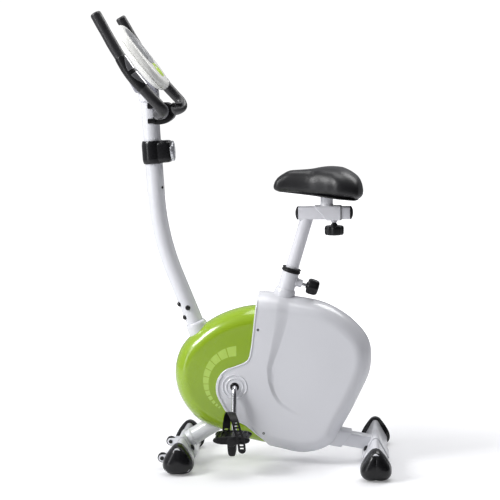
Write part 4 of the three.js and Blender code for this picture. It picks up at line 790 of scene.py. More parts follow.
front_leg_x = FRONT_FOOT_X + 15
front_leg_end = np.array((front_leg_x, 0,
                          FRAME_NODE[2] - (FRAME_NODE[0] - front_leg_x) * math.tan(FRONT_RISE)))
leg_path = resampled(np.array((front_leg_end, FRAME_NODE)), 60)
from_foot = np.linalg.norm(leg_path - leg_path[0], axis=1)
weld = 2.2 * np.exp(-((from_foot - 16) / 2.5) ** 2)
rear_leg_end = np.array((REAR_FOOT_X, 0, FOOT_TUBE_LOW + 45))
rear_leg_up = np.array((-math.cos(REAR_FALL), 0, math.sin(REAR_FALL)))
leg_section = rectangle(REAR_LEG_WIDE / 2, REAR_LEG_TALL / 2, 7)
seat_ring = [(SEAT_BORE_R, -SEAT_TUBE_LONG), (SEAT_TUBE_R, -SEAT_TUBE_LONG), (SEAT_TUBE_R, 0),
             (SEAT_BORE_R, 0), (SEAT_BORE_R, -SEAT_TUBE_LONG)]
boss = [(0, SEAT_TUBE_R - 4), (BOSS_R + 3, SEAT_TUBE_R - 4), (BOSS_R + 2, SEAT_TUBE_R + 1.5),
        (BOSS_R, SEAT_TUBE_R + 4),
        (BOSS_R, BOSS_OUT), (BOSS_R - 5, BOSS_OUT), (6, BOSS_OUT - 2), (0, BOSS_OUT - 2)]
crank_shell = [(21.3, -34), (26, -34), (26, 34), (21.3, 34), (21.3, -34)]
neck_ring = [(NECK_BORE_R, NECK_FROM), (NECK_R, NECK_FROM), (NECK_R, NECK_TO), (NECK_BORE_R, NECK_TO),
             (NECK_BORE_R, NECK_FROM)]
frame_weldment = together(
    pipe(leg_path, LEG_R + weld, 56, soft=0.5),
    bar(leg_section, rear_leg_end, rear_leg_end + rear_leg_up * 420),
    standing(turned(seat_ring, 64, 0.8), SEAT_TOP, SEAT_UP),
    standing(turned(boss, 40, 0.8), pin_at(0), SEAT_BACK),
    standing(turned(crank_shell, 48, 0.8), CRANK, ACROSS),
    standing(turned(neck_ring, 40, 0.8), POST_FOOT, POST_UP),
    saddle_plate(FRONT_FOOT_X), saddle_plate(REAR_FOOT_X))
piece("frame_tubes", frame_weldment, white_paint, "bike_body", ["main_frame"], crease=35)

fly_low, fly_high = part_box("flywheel")
FLY = np.array((500 * (fly_low.x + fly_high.x) - ORIGIN_X, 0, 500 * (fly_low.z + fly_high.z)))
web = rounded([(CRANK[0] + x, CRANK[2] + z) for x, z in ((-40, -10), (-10, -60), (20, -60), (55, 10), (20, 6),
                                                         (-20, 2))], 3)
plates = [slab(web, -8, 8)]
for y, edge in ((-40, -38), (54, 52)):
    plate = [(FLY[0] + x, z) for x, z in ((-38, 92), (20, 84), (13, FLY[2] + 4), (6, FLY[2] + 14),
                                          (-6, FLY[2] + 14), (-13, FLY[2] + 4))]
    shelf = [(FLY[0] + x, z) for x, z in ((-34, 98), (-34, 88), (18, 80), (18, 90))]
    plates += [slab(rounded(plate, 3), y - 2, y + 2), slab(rounded(shelf, 2), min(edge, 0), max(edge, 0))]
magnet_pivot = FLY + MAGNET_REACH * np.array((math.cos(MAGNET_TURN), 0, math.sin(MAGNET_TURN)))
seat_tube_x = SEAT_TOP[0] - (SEAT_TOP[2] - magnet_pivot[2]) * math.tan(SEAT_LEAN)
arm_end = seat_tube_x + math.copysign(20.5, magnet_pivot[0] - seat_tube_x)
magnet_arm = [(arm_end, -6), (magnet_pivot[0] + 6, -6), (magnet_pivot[0] + 6, 6), (arm_end, 6)]
plates += [slab(rounded([(x, magnet_pivot[2] + z) for x, z in magnet_arm], 2), -14, -6),
           rod(magnet_pivot - ACROSS * 36, magnet_pivot + ACROSS * 8, 4, 20)]
piece("frame_plates", together(*plates), white_paint, "bike_body")

# ---- Trim at the casing ----
# Three white moulded covers where tubes enter the casing: a collar round the post, a domed boot round
# the seat tube, and a square sleeve with a slanted end round the rear leg. Black bolts hold the post.
collar = [(25.5, -20), (31, -20), (31, 13), (28.5, 19), (25.5, 20), (25.5, -20)]
piece("post_collar_trim", standing(turned(collar, 64, 2), along_post(6), POST_UP), white_shell, "bike_body",
      ["post_collar"])
boot = [(25.5, -44), (31, -44), (31, -15), (30, -8), (27.5, -1.5), (25.5, -0.5), (25.5, -44)]
piece("seat_boot_trim", standing(turned(boot, 64, 2.5), along_seat(-49), SEAT_UP), white_shell, "bike_body",
      ["seat_tube_boot"])


def shroud_ring(half_wide, half_tall, s, slant):
    """A rounded rectangle round the rear leg at a distance back from the foot. Slant leans its plane, so
    the distance grows downward by slant times the height below the leg's middle."""
    outline = rectangle(half_wide, half_tall, 8)
    up = np.cross(ACROSS, rear_leg_up)
    reach = s - slant * outline[:, 1:]
    return rear_leg_end + rear_leg_up * reach + outline[:, :1] * ACROSS + outline[:, 1:] * up


SHROUD_FROM = 86.0
SHROUD_SLANT = 0.44
shroud = [shroud_ring(23.5, 26.5, 148, 0), shroud_ring(23.5, 26.5, SHROUD_FROM + 1.5, SHROUD_SLANT),
          shroud_ring(22.8, 25.8, SHROUD_FROM + 0.4, SHROUD_SLANT),
          shroud_ring(21.5, 24.5, SHROUD_FROM, SHROUD_SLANT),
          shroud_ring(18.6, 21.6, SHROUD_FROM + 0.6, SHROUD_SLANT), shroud_ring(18.6, 21.6, 148, 0)]
piece("rear_leg_sleeve", loft(shroud, loop=True), white_shell, "bike_body",
      ["rear_leg_shroud"])

bolt_black = black_finish("bolt_black", 0.3, (1400, 0.012), Coat_Weight=0.3)
FRONT_OF_POST = np.array((-math.cos(LEAN_LOW), 0, -math.sin(LEAN_LOW)))
BOLT_TURN = math.radians(33)
post_bolts = [("side_left", 74, -ACROSS), ("side_right", 74, ACROSS)]
for s in (50, 92):
    for name, side in SIDES:
        post_bolts.append((f"front_{s}_{name}", s,
                           math.cos(BOLT_TURN) * FRONT_OF_POST + side * math.sin(BOLT_TURN) * ACROSS))
small_at = POST_UP_TOP * ((813 - post_top[2]) / math.cos(LEAN_TOP)) + post_top
small_out = np.array((0.84, -0.54, 0))
piece("post_small_screw", standing(screw_head(4, 2.2, 1.8), small_at + small_out * POST_R, small_out),
      bolt_black, "bike_body")
for name, s, out in post_bolts:
    piece(f"post_bolt_{name}", standing(screw_head(7.5, 5.5, 3), along_post(s) + out * POST_R, out),
          bolt_black, "bike_body")

# ---- Feet ----
# Two cross tubes pressed to a tent section, with moulded black caps pushed on both ends. Domed bolts
# hold them to the frame's plates, and the front one carries two small transport wheels.
FOOT_CAP_LENGTH = 52.0
FOOT_CAP_THICK = 8.0
FEET = {"front": (FRONT_FOOT_X, 185.0, 1), "rear": (REAR_FOOT_X, 235.0, -1)}
WHEEL = np.array((-247.0, 0, 34))
WHEEL_Y = 95.0
cap_plastic = black_finish("cap_plastic", 0.24, (1100, 0.02), Coat_Weight=0.2, Coat_Roughness=0.12)
tyre_rubber = black_finish("tyre_rubber", 0.55, (1500, 0.03))
foot_outline = rounded(mirrored(tent(0)), (6, 5, 8, 6, 4, 4, 6, 8, 5, 6))
drop = [(0.0001, 0), (0.4, 0.5), (0.76, 6.5), (0.96, 17), (1.01, 28), (0.95, 41), (0.75, 58), (0.47, 75),
        (0.25, 84.5), (0.0001, 88)]
teardrop = smooth_line(mirrored(drop) * (FOOT_TUBE_HALF + FOOT_CAP_THICK, 1), 132, closed=True)
CAP_LIFT = (FOOT_TUBE_TOP + FOOT_CAP_THICK) / 3


def foot_cap(x, half, side, flutes, deep):
    """A teardrop carried outward and drawn in to a point by a superellipse. Flutes that fan out from the
    ridge push the surface in and out by the sine of their angle, fading towards the open end."""
    t = np.concatenate((np.linspace(0, 0.6, 10), 1 - np.linspace(0.4, 0, 30)[1:] ** 1.7 / 0.4 ** 0.7))
    shrink = np.maximum(1 - t ** 3.2, 1e-4)[:, None] ** 0.46
    flat = np.stack((teardrop[None, :, 0] * shrink, CAP_LIFT + (teardrop[None, :, 1] - CAP_LIFT) * shrink),
                    axis=-1)
    fan = np.arctan2(flat[..., 0], FOOT_TUBE_TOP + 24 - flat[..., 1])
    ridge = np.abs(np.sin(flutes * fan)) ** 0.7 - 0.55
    fade = ease(t * 2.2)[:, None] * ease((FOOT_TUBE_TOP + 6 - flat[..., 1]) / 30)
    swell = 1 + deep / 44 * ridge * fade
    y = half - FOOT_CAP_LENGTH * (1 - t)[:, None]
    y = y + 0.9 * deep * (ridge - 0.3) * fade * ease(t * 1.6 - 0.5)[:, None]
    rings = np.stack((x + flat[..., 0] * swell, side * y, CAP_LIFT + (flat[..., 1] - CAP_LIFT) * swell),
                     axis=-1)
    rings[..., 2] = np.maximum(rings[..., 2], 0)
    mouth = rings[0].copy()
    mouth[:, 0] = x + (mouth[:, 0] - x) * 0.97
    return loft(np.concatenate(((mouth - (0, side * 1.2, 0))[None], rings)))


for end, (x, half, inward) in FEET.items():
    reach = half - 14
    piece(f"foot_tube_{end}", slab(foot_outline + (x, 0), -reach, reach, 0.5), white_paint, "bike_body",
          [f"{end}_stabiliser"], crease=35)
    for side_name, side in SIDES:
        flutes, deep = (5.2, 4.2) if end == "rear" else (2.4, 2.0)
        piece(f"foot_cap_{end}_{side_name}_moulded", foot_cap(x, half, side, flutes, deep), cap_plastic,
              "bike_body", [f"foot_cap_{end}_{side_name}"], crease=70)
        out = np.array((inward * 47.0, 0, 26))
        out /= np.linalg.norm(out)
        leg_down = np.array((-inward * 0.49, 0, 0.87))
        wall = np.array((x + inward * 22, side * 36,
                         (FOOT_TUBE_LOW + 18 + FOOT_TUBE_TOP - 5) / 2)) - 6 * leg_down
        washer = [(0, -6), (4, -6), (4, 3.4), (10, 3.4), (10, 4.6), (8.6, 4.8), (7.6, 7.6), (4, 9.4),
                  (2.4, 9.4), (2.4, 7), (0, 7)]
        piece(f"foot_bolt_{end}_{side_name}_domed", standing(turned(washer, 32, 0.5), wall, out), bolt_black,
              "bike_body", [f"foot_bolt_{end}_{side_name}"])

turn = np.radians(np.linspace(90, 270, 15))
arm = [(WHEEL[0] + 10.5 * math.cos(a), WHEEL[2] + 10.5 * math.sin(a)) for a in turn]
cheek = np.array(arm + [(-219, 20), (-208, 44), (-214, 46)])
tyre = [(4.4, -7), (9, -7), (9.5, -5.6), (11.5, -5.6), (12.4, -7), (14, -5.5), (14, -1.5), (13.3, 0),
        (14, 1.5), (14, 5.5), (12.4, 7), (11.5, 5.6), (9.5, 5.6), (9, 7), (4.4, 7), (4.4, -7)]
for side_name, side in SIDES:
    y = side * WHEEL_Y
    piece(f"wheel_bracket_{side_name}", together(slab(cheek, y - 11.5, y - 8.5, 0.8),
                                                 slab(cheek, y + 8.5, y + 11.5, 0.8)),
          white_paint, "bike_body")
    for k, out in enumerate((-ACROSS, ACROSS)):
        piece(f"wheel_bolt_{side_name}_{k}", standing(screw_head(6, 4.5, 2.4), WHEEL + (0, y, 0) + out * 11.5,
                                                      out),
              bolt_black, "bike_body")
    piece(f"wheel_tyre_{side_name}", standing(turned(tyre, 48, 0.7), WHEEL + (0, y, 0), ACROSS), tyre_rubber,
          f"wheel_{side_name}", [f"transport_wheel_{side_name}"])

# ---- Seat post and rail ----
# A 38 mm tube that slides in the seat tube through a black nylon bush, with a square rail welded across
# its top and a domed plug in each end of the rail. All the steel is powder coated white.
SEAT_POST_R = 19.0
RAIL_HALF = 18.5
RAIL_FRONT = 151.0
RAIL_REAR = 300.0
RAIL_Z = 735.0
# A copy of the white powder coat, a little lighter than the post's: painted light, for the brighter light on
# the rail.
rail_paint = finish("rail_paint", (0.82, 0.82, 0.86), 0.3, grain=(700, 0.012), mottle=0.012, Coat_Weight=0.5,
                    Coat_Roughness=0.12)
black_nylon = black_finish("black_nylon", 0.33, (1300, 0.02))
bush = [(19.4, -55), (22.2, -55), (22.2, 0.3), (25.5, 0.3), (27.6, 2), (27.8, 6), (26, 7.5), (26, 9),
        (27.6, 10.5), (27.2, 13.4), (24, 14), (20.4, 12.5), (19.4, 11), (19.4, -55)]
piece("nylon_bush", standing(turned(bush, 64, 0.8), SEAT_TOP, SEAT_UP), black_nylon, "bike_body",
      ["seat_tube_bush"])
post_run = resampled(np.array((along_seat(-150), along_seat(164))), 40)
weld = 1.8 * np.exp(-((np.linspace(-150, 164, 40) - 159) / 2.2) ** 2)
rail_section = rectangle(RAIL_HALF, RAIL_HALF, 5)
# The seat post and rail take the lighter white, which is painted light.
piece("seat_post_tube", together(
    pipe(post_run, SEAT_POST_R + weld, 48, soft=1),
    bar(rail_section, (RAIL_FRONT, 0, RAIL_Z), (RAIL_REAR, 0, RAIL_Z), soft=0.8)), rail_paint,
    "seat_post_body", ["seat_post"], crease=35)
for end, x, out in (("front", RAIL_FRONT, -1), ("rear", RAIL_REAR, 1)):
    bulge = [(RAIL_HALF + 0.2, 0.2), (RAIL_HALF + 0.2, 2), (RAIL_HALF - 0.8, 3.6), (RAIL_HALF - 3.4, 5.6),
             (RAIL_HALF - 8, 7.6), (RAIL_HALF - 13, 8.7), (1.5, 9)]
    rings = []
    for half, step in [(15.5, -13.5), (15.5, 0.1)] + bulge:
        outline = rectangle(half, half, min(7, half * 0.8))
        rings.append(np.stack((np.full(len(outline), x + out * step), outline[:, 0], RAIL_Z + outline[:, 1]),
                              axis=-1))
    piece(f"rail_plug_{end}", loft(rings), black_nylon, "seat_post_body",
          [f"rail_cap_{end}"])

# ---- Height pin and its knob ----
# A threaded steel pin that pulls back out of the seat tube's boss, with a black knob moulded in six
# soft lobes so that a hand can grip it.
PIN_R = 5.0
bright_steel = finish("bright_steel", (0.55, 0.55, 0.56), 0.28, metal=1.0, grain=(1800, 0.01))
knob_plastic = black_finish("knob_plastic", 0.3, (1200, 0.025), Coat_Weight=0.15, Coat_Roughness=0.2)
steps = np.linspace(20, 84, 129)
thread = np.where(steps > 38, 0.5 * np.abs(np.sin(steps * math.pi / 3)), 0)
pin_profile = [(0, 20)] + [(PIN_R - cut, s) for cut, s in zip(thread, steps)] + [(0, 84)]
piece("height_pin", standing(turned(pin_profile, 28), pin_at(0), SEAT_BACK), bright_steel, "pull_pin",
      ["seat_pin"])
knob = [(0, -5), (9, -5), (10, -2), (18.5, -1.5), (22, 2.5), (23, 9), (22.6, 22), (20, 30), (15, 32.5),
        (8, 33.4), (0, 33.4)]
piece("height_knob", standing(turned(knob, 96, 2.5, lobes=6, lobe_deep=0.055, lobe_from=14), pin_at(58),
                              SEAT_BACK),
      knob_plastic, "pull_knob", ["seat_height_knob"], crease=50)

# ---- Saddle slider ----
# A square sleeve cut on a slant that slides along the rail, with a short stub for the saddle welded on
# top. A knob below screws up through a nut and pinches the rail.
SLEEVE_HALF = 21.5
SLEEVE_IN = 19.0
SLEEVE_REAR = 273.0
SLEEVE_TOP_FRONT = 196.0
SLEEVE_LOW_FRONT = 232.0
STEM_X = 233.0
STEM_R = 18.0
SLIDER_KNOB_X = 254.0


def sleeve_ring(half, radius, x_top, x_low):
    """A rounded square round the rail whose X runs evenly from one value at its top to another below."""
    outline = rectangle(half, half, radius)
    share = (SLEEVE_HALF - outline[:, 1]) / (2 * SLEEVE_HALF)
    return np.stack((x_top + (x_low - x_top) * share, outline[:, 0], RAIL_Z + outline[:, 1]), axis=-1)


front = (SLEEVE_TOP_FRONT, SLEEVE_LOW_FRONT)
sleeve = [sleeve_ring(SLEEVE_HALF - 0.6, 5, SLEEVE_REAR, SLEEVE_REAR),
          sleeve_ring(SLEEVE_HALF, 6, SLEEVE_REAR - 0.7, SLEEVE_REAR - 0.7),
          sleeve_ring(SLEEVE_HALF, 6, front[0] + 2.6, front[1] + 2.6),
          sleeve_ring(SLEEVE_HALF - 1, 5, front[0] + 0.8, front[1] + 0.8),
          sleeve_ring(SLEEVE_IN + 0.6, 4.5, *front),
          sleeve_ring(SLEEVE_IN, 4, front[0] + 0.6, front[1] + 0.6),
          sleeve_ring(SLEEVE_IN, 4, SLEEVE_REAR, SLEEVE_REAR)]
stub_z = np.linspace(RAIL_Z + SLEEVE_HALF - 4, 785, 20)
stub = np.stack((np.full(20, STEM_X), 0 * stub_z, stub_z), axis=1)
stub_r = STEM_R + 2 * np.exp(-((stub_z - RAIL_Z - SLEEVE_HALF) / 2.5) ** 2)
nut = [(0, -28), (9, -28), (10.5, -26.5), (10.5, -21), (0, -21)]
# The sleeve, stub and nut take the lighter white, which is painted light.
piece("slider_sleeve", together(loft(sleeve, loop=True), pipe(stub, stub_r, 48),
                                standing(turned(nut, 6, 0.8), (SLIDER_KNOB_X, 0, RAIL_Z), ALONG_Z)),
      rail_paint, "saddle", ["saddle_slider"], crease=32)
# A thin black ring on the sleeve's rear end, against the rail: a dark piece that stands in for the shadow in
# the gap at that edge, painted shade.
edge_shadow_ring = [sleeve_ring(SLEEVE_HALF - 0.4, 5, SLEEVE_REAR + 0.1, SLEEVE_REAR + 0.1),
         sleeve_ring(SLEEVE_HALF - 0.6, 5, SLEEVE_REAR + 2.2, SLEEVE_REAR + 2.2),
         sleeve_ring(SLEEVE_IN - 0.3, 4, SLEEVE_REAR + 2.2, SLEEVE_REAR + 2.2),
         sleeve_ring(SLEEVE_IN - 0.3, 4, SLEEVE_REAR + 0.1, SLEEVE_REAR + 0.1)]
piece("slider_liner", loft(edge_shadow_ring, loop=True), black_nylon, "saddle")
screw = [(0, -19), (PIN_R, -19), (PIN_R, -29), (7.5, -31), (9.5, -34), (10, -37), (24, -37.6), (27.4, -41),
         (28, -46), (27.6, -60), (25, -64), (16, -65), (0, -65)]
piece("slider_screw_knob", standing(turned(screw[::-1], 120, 1.5, lobes=10, lobe_deep=0.035, lobe_from=18),
                                    (SLIDER_KNOB_X, 0, RAIL_Z), ALONG_Z),
      knob_plastic, "saddle_knob", ["slider_knob"], crease=50)

# ---- Saddle ----
# A foam pad under a black vinyl cover, on a moulded pan. The cover is drawn tight over the foam and
# tucked under its lower edge, so the pad is full and round everywhere but underneath.
SADDLE_NOSE = 74.0
SADDLE_TAIL = 342.0
SADDLE_LOW_NOSE = 798.0
SADDLE_LOW_TAIL = 773.0
PAN_THICK = 10.0
PAD_SWELL = 3.0  # how much smaller the pad starts than it ends
saddle_vinyl = finish("saddle_vinyl", (0.0095, 0.0092, 0.0105), 0.38, grain=(1500, 0.05), mottle=0.08,
                      wear=0.06)
pan_plastic = black_finish("pan_plastic", 0.42, (1300, 0.03))
wide_line = smooth_line([(0, 22), (0.04, 25), (0.2, 36), (0.4, 52), (0.6, 84), (0.78, 107), (0.9, 103),
                         (0.97, 84), (1, 70)], 300)
top_line = smooth_line([(0, 830), (0.05, 840), (0.12, 851), (0.22, 859), (0.34, 860.5), (0.44, 862.5),
                        (0.54, 867), (0.64, 869), (0.74, 867), (0.84, 859), (0.92, 846), (1, 829)], 300)


def saddle_form(trim, low_by, high_by=None):
    """Sections square to X. The upper half of each is an arc, the cosine of a turn to the power 0.74
    across by its sine to the power 0.86 up. The lower half is much shallower, with its sine to the power
    0.7. Both ends close over 6 percent of the length, as a quarter circle to the power 0.76."""
    share = 0.5 - 0.5 * np.cos(np.linspace(0, math.pi, 90))
    x = SADDLE_NOSE + trim + (SADDLE_TAIL - SADDLE_NOSE - 2 * trim) * share
    half = np.interp(share, wide_line[:, 0], wide_line[:, 1]) - trim
    end = np.clip(np.minimum(share, 1 - share) / 0.06, 0, 1)
    close = np.maximum((1 - (1 - end) ** 2) ** 0.38, 0.02)
    low = SADDLE_LOW_NOSE + (SADDLE_LOW_TAIL - SADDLE_LOW_NOSE) * share + low_by
    high = np.interp(share, top_line[:, 0], top_line[:, 1]) - trim if high_by is None else low + high_by
    turn = np.linspace(0, 2 * math.pi, 96, endpoint=False)
    across = np.sign(np.cos(turn)) * np.abs(np.cos(turn)) ** 0.74
    up = np.where(np.sin(turn) > 0, np.abs(np.sin(turn)) ** 0.86, -(np.abs(np.sin(turn)) ** 0.7))
    belt = low + (high - low) * (0.27 if high_by is None else 0.5)
    rise = np.where(up[None] > 0, (high - belt)[:, None] * up, (belt - low)[:, None] * up)
    points = np.stack((x[:, None] + 0 * turn, (half * close)[:, None] * across,
                       belt[:, None] + rise * close[:, None]), axis=-1)
    return loft(points)


def swell(pad, cap):
    """Blows a pad up as a full cushion: the mesh is remeshed, swollen by cloth under pressure for twenty
    frames, no point moving further than the cap, and smoothed once."""
    remesh = pad.modifiers.new("even_mesh", "REMESH")
    remesh.mode = "VOXEL"
    remesh.voxel_size = 0.005
    take_shape(pad)
    start = np.empty(len(pad.data.vertices) * 3)
    pad.data.vertices.foreach_get("co", start)
    cloth = pad.modifiers.new("filling", "CLOTH")
    cloth.settings.use_pressure = True
    cloth.settings.uniform_pressure_force = 4
    cloth.settings.effector_weights.gravity = 0
    cloth.settings.quality = 5
    for frame_number in range(1, 21):
        bpy.context.scene.frame_set(frame_number)
    take_shape(pad)
    end = np.empty_like(start)
    pad.data.vertices.foreach_get("co", end)
    bpy.context.scene.frame_set(1)
    move = (end - start).reshape(-1, 3)
    far = np.linalg.norm(move, axis=1, keepdims=True)
    swollen = start.reshape(-1, 3) + move * np.minimum(1, cap / np.maximum(far, 1e-9))
    pad.data.vertices.foreach_set("co", swollen.ravel())
    finer = pad.modifiers.new("finer", "SUBSURF")
    finer.levels = finer.render_levels = 1
    take_shape(pad)
    pad.data.shade_smooth()


saddle_pad = piece("saddle_pad", saddle_form(PAD_SWELL, PAD_SWELL), saddle_vinyl, "saddle",
                   ["saddle_cushion"], crease=80)
swell(saddle_pad, PAD_SWELL / 1000)
piece("saddle_pan_moulding", saddle_form(16, -1.2, PAN_THICK), pan_plastic, "saddle",
      ["saddle_pan"], crease=60)

# ---- Crank and pedals ----
# One bar of chromed steel bent to an S, with an eye at each end for a pedal spindle. Each pedal is a
# black moulding with a weighted tail, and a rubber strap buckled over it through a row of slots.
CRANK_LENGTH = 130.0
CRANK_OFFSET = 104.0
PEDAL_IN = 118.0
PEDAL_WIDE = 85.0
STRAP_WIDE = 22.0
STRAP_THICK = 2.4
chrome = finish("chrome_crank", (0.72, 0.72, 0.74), 0.1, metal=1.0, grain=(600, 0.004), mottle=0.02,
                wear=0.03)
pedal_plastic = black_finish("pedal_plastic", 0.36, (1200, 0.035))
strap_rubber = black_finish("strap_rubber", 0.42, (1500, 0.03))
arm = [(0, 0), (52, 0), (70, -1), (83, -13), (90, -38), (97, -75), (102, -105), (104, -CRANK_LENGTH)]
half_bar = np.array([(0, -y, z) for y, z in arm[1:]])
bar_path = smooth_line(np.concatenate((-half_bar[::-1], [(0, 0, 0)], half_bar)) + CRANK, 170)
parts = [pipe(bar_path, 7.5, 36, across=ALONG_X, soft=1),
         rod(CRANK - ACROSS * 46, CRANK + ACROSS * 46, 10, across=ALONG_X)]
for side in (-1, 1):
    eye = [(7.4, -7), (13, -7), (14, -6), (14, 6), (13, 7), (7.4, 7), (7.4, -7)]
    parts.append(standing(turned(eye, 48, 0.6), CRANK + (0, side * CRANK_OFFSET, side * CRANK_LENGTH),
                          ACROSS))
piece("crank_bar", together(*parts), chrome, "crank_set", ["crank"])
for side_name, side in SIDES:
    cup = [(8, 64), (12.6, 64), (12.6, 69.5), (11, 71), (8.4, 71), (8, 70), (8, 64)]
    piece(f"dust_cap_{side_name}", standing(turned(cup, 48, 0.6), CRANK, (0, side, 0)), cap_plastic,
          "crank_set")

TREAD = [(-53, 5), (-50, 10), (-40, 13.5), (-20, 15.5), (20, 15.5), (40, 13.5), (50, 10), (53, 6), (51, 0),
         (42, -4.5), (28, -7), (-28, -7), (-42, -4.5), (-51, 0)]
TAIL = [(-14, -5), (-12.5, -32), (-10, -43), (-5, -46), (5, -46), (9, -43), (10.5, -32), (12, -5)]
STRAP_TOP = {"left": 76.0, "right": 58.0}  # each strap is buckled at its own slot


def strap_path(top):
    """Up the inner side of the pedal, over the foot to a height, and down the outer side to a loose end."""
    inner = PEDAL_IN - 0.3 - STRAP_THICK / 2
    outer = PEDAL_IN + PEDAL_WIDE + 0.3 + STRAP_THICK / 2
    return smooth_line([(-22, inner, -2), (-22, inner, 14), (-19, inner + 1, 0.53 * top),
                        (-13, inner + 14, 0.85 * top),
                        (-3, (inner + outer) / 2, top), (9, outer - 14, 0.83 * top),
                        (18, outer - 1, 0.5 * top), (25, outer, 14), (29, outer, -4), (31, outer, -31)], 241)


def ribbon(path, low, high, thick):
    """A band along a path: at each point a small rectangle from one distance across to another, which runs
    along X, and as thick as given along the path's normal in the YZ plane."""
    along = np.gradient(path, axis=0)
    out = np.stack((0 * along[:, 0], -along[:, 2], along[:, 1]), axis=1)
    out *= thick / 2 / np.linalg.norm(out, axis=1)[:, None]
    low, high = (np.broadcast_to(np.asarray(value, float), len(path))[:, None] * ALONG_X
                 for value in (low, high))
    return loft(np.stack((path + low - out, path + high - out, path + high + out, path + low + out), axis=1))


def strap_shape(top):
    """Two rails with bridges between the slots, and a tongue rounded as a half circle at the loose end."""
    path = strap_path(top)
    s = np.concatenate(([0], np.cumsum(np.linalg.norm(np.diff(path, axis=0), axis=1))))
    half = STRAP_WIDE / 2
    tongue = np.searchsorted(s, s[-1] - 9)
    end = np.clip((s - (s[-1] - half)) / half, 0, 1)
    wide = half * np.sqrt(np.maximum(1 - end ** 2, 0.02))
    slots = [(start, start + 4.4) for start in np.arange(s[-1] - 92, s[-1] - 10, 9.4)]
    slots += [(7, 11.4), (17, 21.4)]
    shapes = [ribbon(path[: tongue + 1], -half, -5, STRAP_THICK),
              ribbon(path[: tongue + 1], 5, half, STRAP_THICK),
              ribbon(path[tongue:], -wide[tongue:], wide[tongue:], STRAP_THICK)]
    edges = sorted([0] + [value for slot in slots for value in slot] + [s[tongue]])
    for first, last in zip(edges[::2], edges[1::2]):
        inside = (s > first) & (s < last)
        middle = np.stack([np.interp(np.concatenate(([first], s[inside], [last])), s, path[:, k])
                           for k in range(3)], axis=1)
        shapes.append(ribbon(middle, -5.1, 5.1, STRAP_THICK * 0.96))
    edge = path[: tongue + 1]
    for offset in (-half + 1, half - 1):
        shapes.append(ribbon(edge, offset - 0.9, offset + 0.9, STRAP_THICK + 0.9))
    return together(*shapes)


def mirror_y(shape, side):
    points, faces = shape
    return points * (1, side, 1), faces


for side_name, side in SIDES:
    body = f"pedal_{side_name}"
    hub = CRANK + (0, 0, side * CRANK_LENGTH)

    def placed(*shapes):
        points, faces = mirror_y(together(*shapes), side)
        return points + hub, faces

    collar = [(0, 96), (6.6, 96), (6.6, 111.4), (9, 111.4), (10, 112.4), (10, 114.4), (9, 115), (7, 115),
              (7, 190), (6, 191), (0, 191)]
    piece(f"spindle_{side_name}", placed(standing(turned(collar, 36, 0.4), (0, 0, 0), ACROSS)), bright_steel,
          body, [f"pedal_spindle_{side_name}"])
    y0, y1 = PEDAL_IN, PEDAL_IN + PEDAL_WIDE
    tread = rounded(TREAD, 4, steps=5)
    shapes = [slab(tread, y0 + 1.5, y0 + 14, 2.5), slab(tread, y1 - 14, y1 - 1.5, 3.5),
              slab(tread * (0.94, 0.82) + (0, 0.6), y0 + 9, y1 - 9, 2),
              slab(rounded(TAIL, 5), y0 + 25, y1 - 20, 3),
              standing(turned([(0, y0 + 0.5), (13, y0 + 0.5), (14, y0 + 4), (14, y1 - 4),
              (12, y1 - 0.6), (0, y1 - 0.6)], 40, 1), (0, 0, 0), ACROSS)]
    for x in np.linspace(-42, 42, 8):
        if abs(x) > 8:
            shapes.append(slab(rectangle(1.6, 1.8, 0.8) + (x, 15.4 - 0.0012 * x * x), y0 + 12, y1 - 12, 0.6))
    for y in (y0 + 0.9, y1 - 0.9):
        for z, reach in ((10.5, 34), (6, 44), (1.5, 45), (-3, 38)):
            for sign in (-1, 1):
                rib = rectangle((reach - 15) / 2, 1.1, 1) + (sign * (reach + 15) / 2, z)
                shapes.append(slab(rib, y - 0.9, y + 0.9, 0.6))
    piece(f"pedal_moulding_{side_name}", placed(*shapes), pedal_plastic, body,
          [f"pedal_body_{side_name}"])
    piece(f"pedal_band_{side_name}", placed(strap_shape(STRAP_TOP[side_name])), strap_rubber, body,
          [f"pedal_strap_{side_name}"], crease=30)

# ---- Tension control ----
# A black moulded housing clipped round the post, with a silver dial on the rider's side. Turning the
# dial pulls the cable that runs down inside the post to the magnet bracket.
TENSION_DROP = 168.9
TENSION_R = 32.0
TENSION_DEEP = 27.0
tension_at = post_top - POST_UP_TOP * (TENSION_DROP / math.cos(LEAN_TOP))
POST_BACK = np.array((math.cos(LEAN_TOP), 0, math.sin(LEAN_TOP)))
dial_silver = finish("dial_silver", (0.62, 0.63, 0.66), 0.22, metal=0.85, grain=(900, 0.01), mottle=0.03)
dial_white = finish("dial_white", (0.75, 0.76, 0.78), 0.35, grain=(900, 0.01), mottle=0.02)
barrel = [(25.8, -30), (27, -33), (29, -33), (31, -27), (32, -20), (32, 20), (31, 27), (29, 33), (27, 33),
          (25.8, 30), (25.8, -30)]
squared = rectangle(TENSION_R * 0.93, TENSION_R, 15, steps=9)
housing = []
for s, size in ((8, 0.86), (POST_R - 6, 0.96), (POST_R, 1), (POST_R + TENSION_DEEP - 10, 1),
                (POST_R + TENSION_DEEP - 3, 0.97),
                (POST_R + TENSION_DEEP - 0.8, 0.93), (POST_R + TENSION_DEEP, 0.9)):
    ring = tension_at + POST_BACK * s + size * (squared[:, :1] * ACROSS + squared[:, 1:] * POST_UP_TOP)
    housing.append(ring)
clips = [standing(turned([(25.6, z - 1.5), (29.5, z - 1.5), (29.5, z + 1.5), (25.6, z + 1.5),
                          (25.6, z - 1.5)], 56, 0.5),
                  tension_at, POST_UP_TOP) for z in (-24, 24)]
piece("tension_shell", together(loft(housing), standing(turned(barrel, 56, 1.5), tension_at, POST_UP_TOP),
                                *clips),
      cap_plastic, "bike_body", ["tension_housing"])
face = tension_at + POST_BACK * (POST_R + TENSION_DEEP)
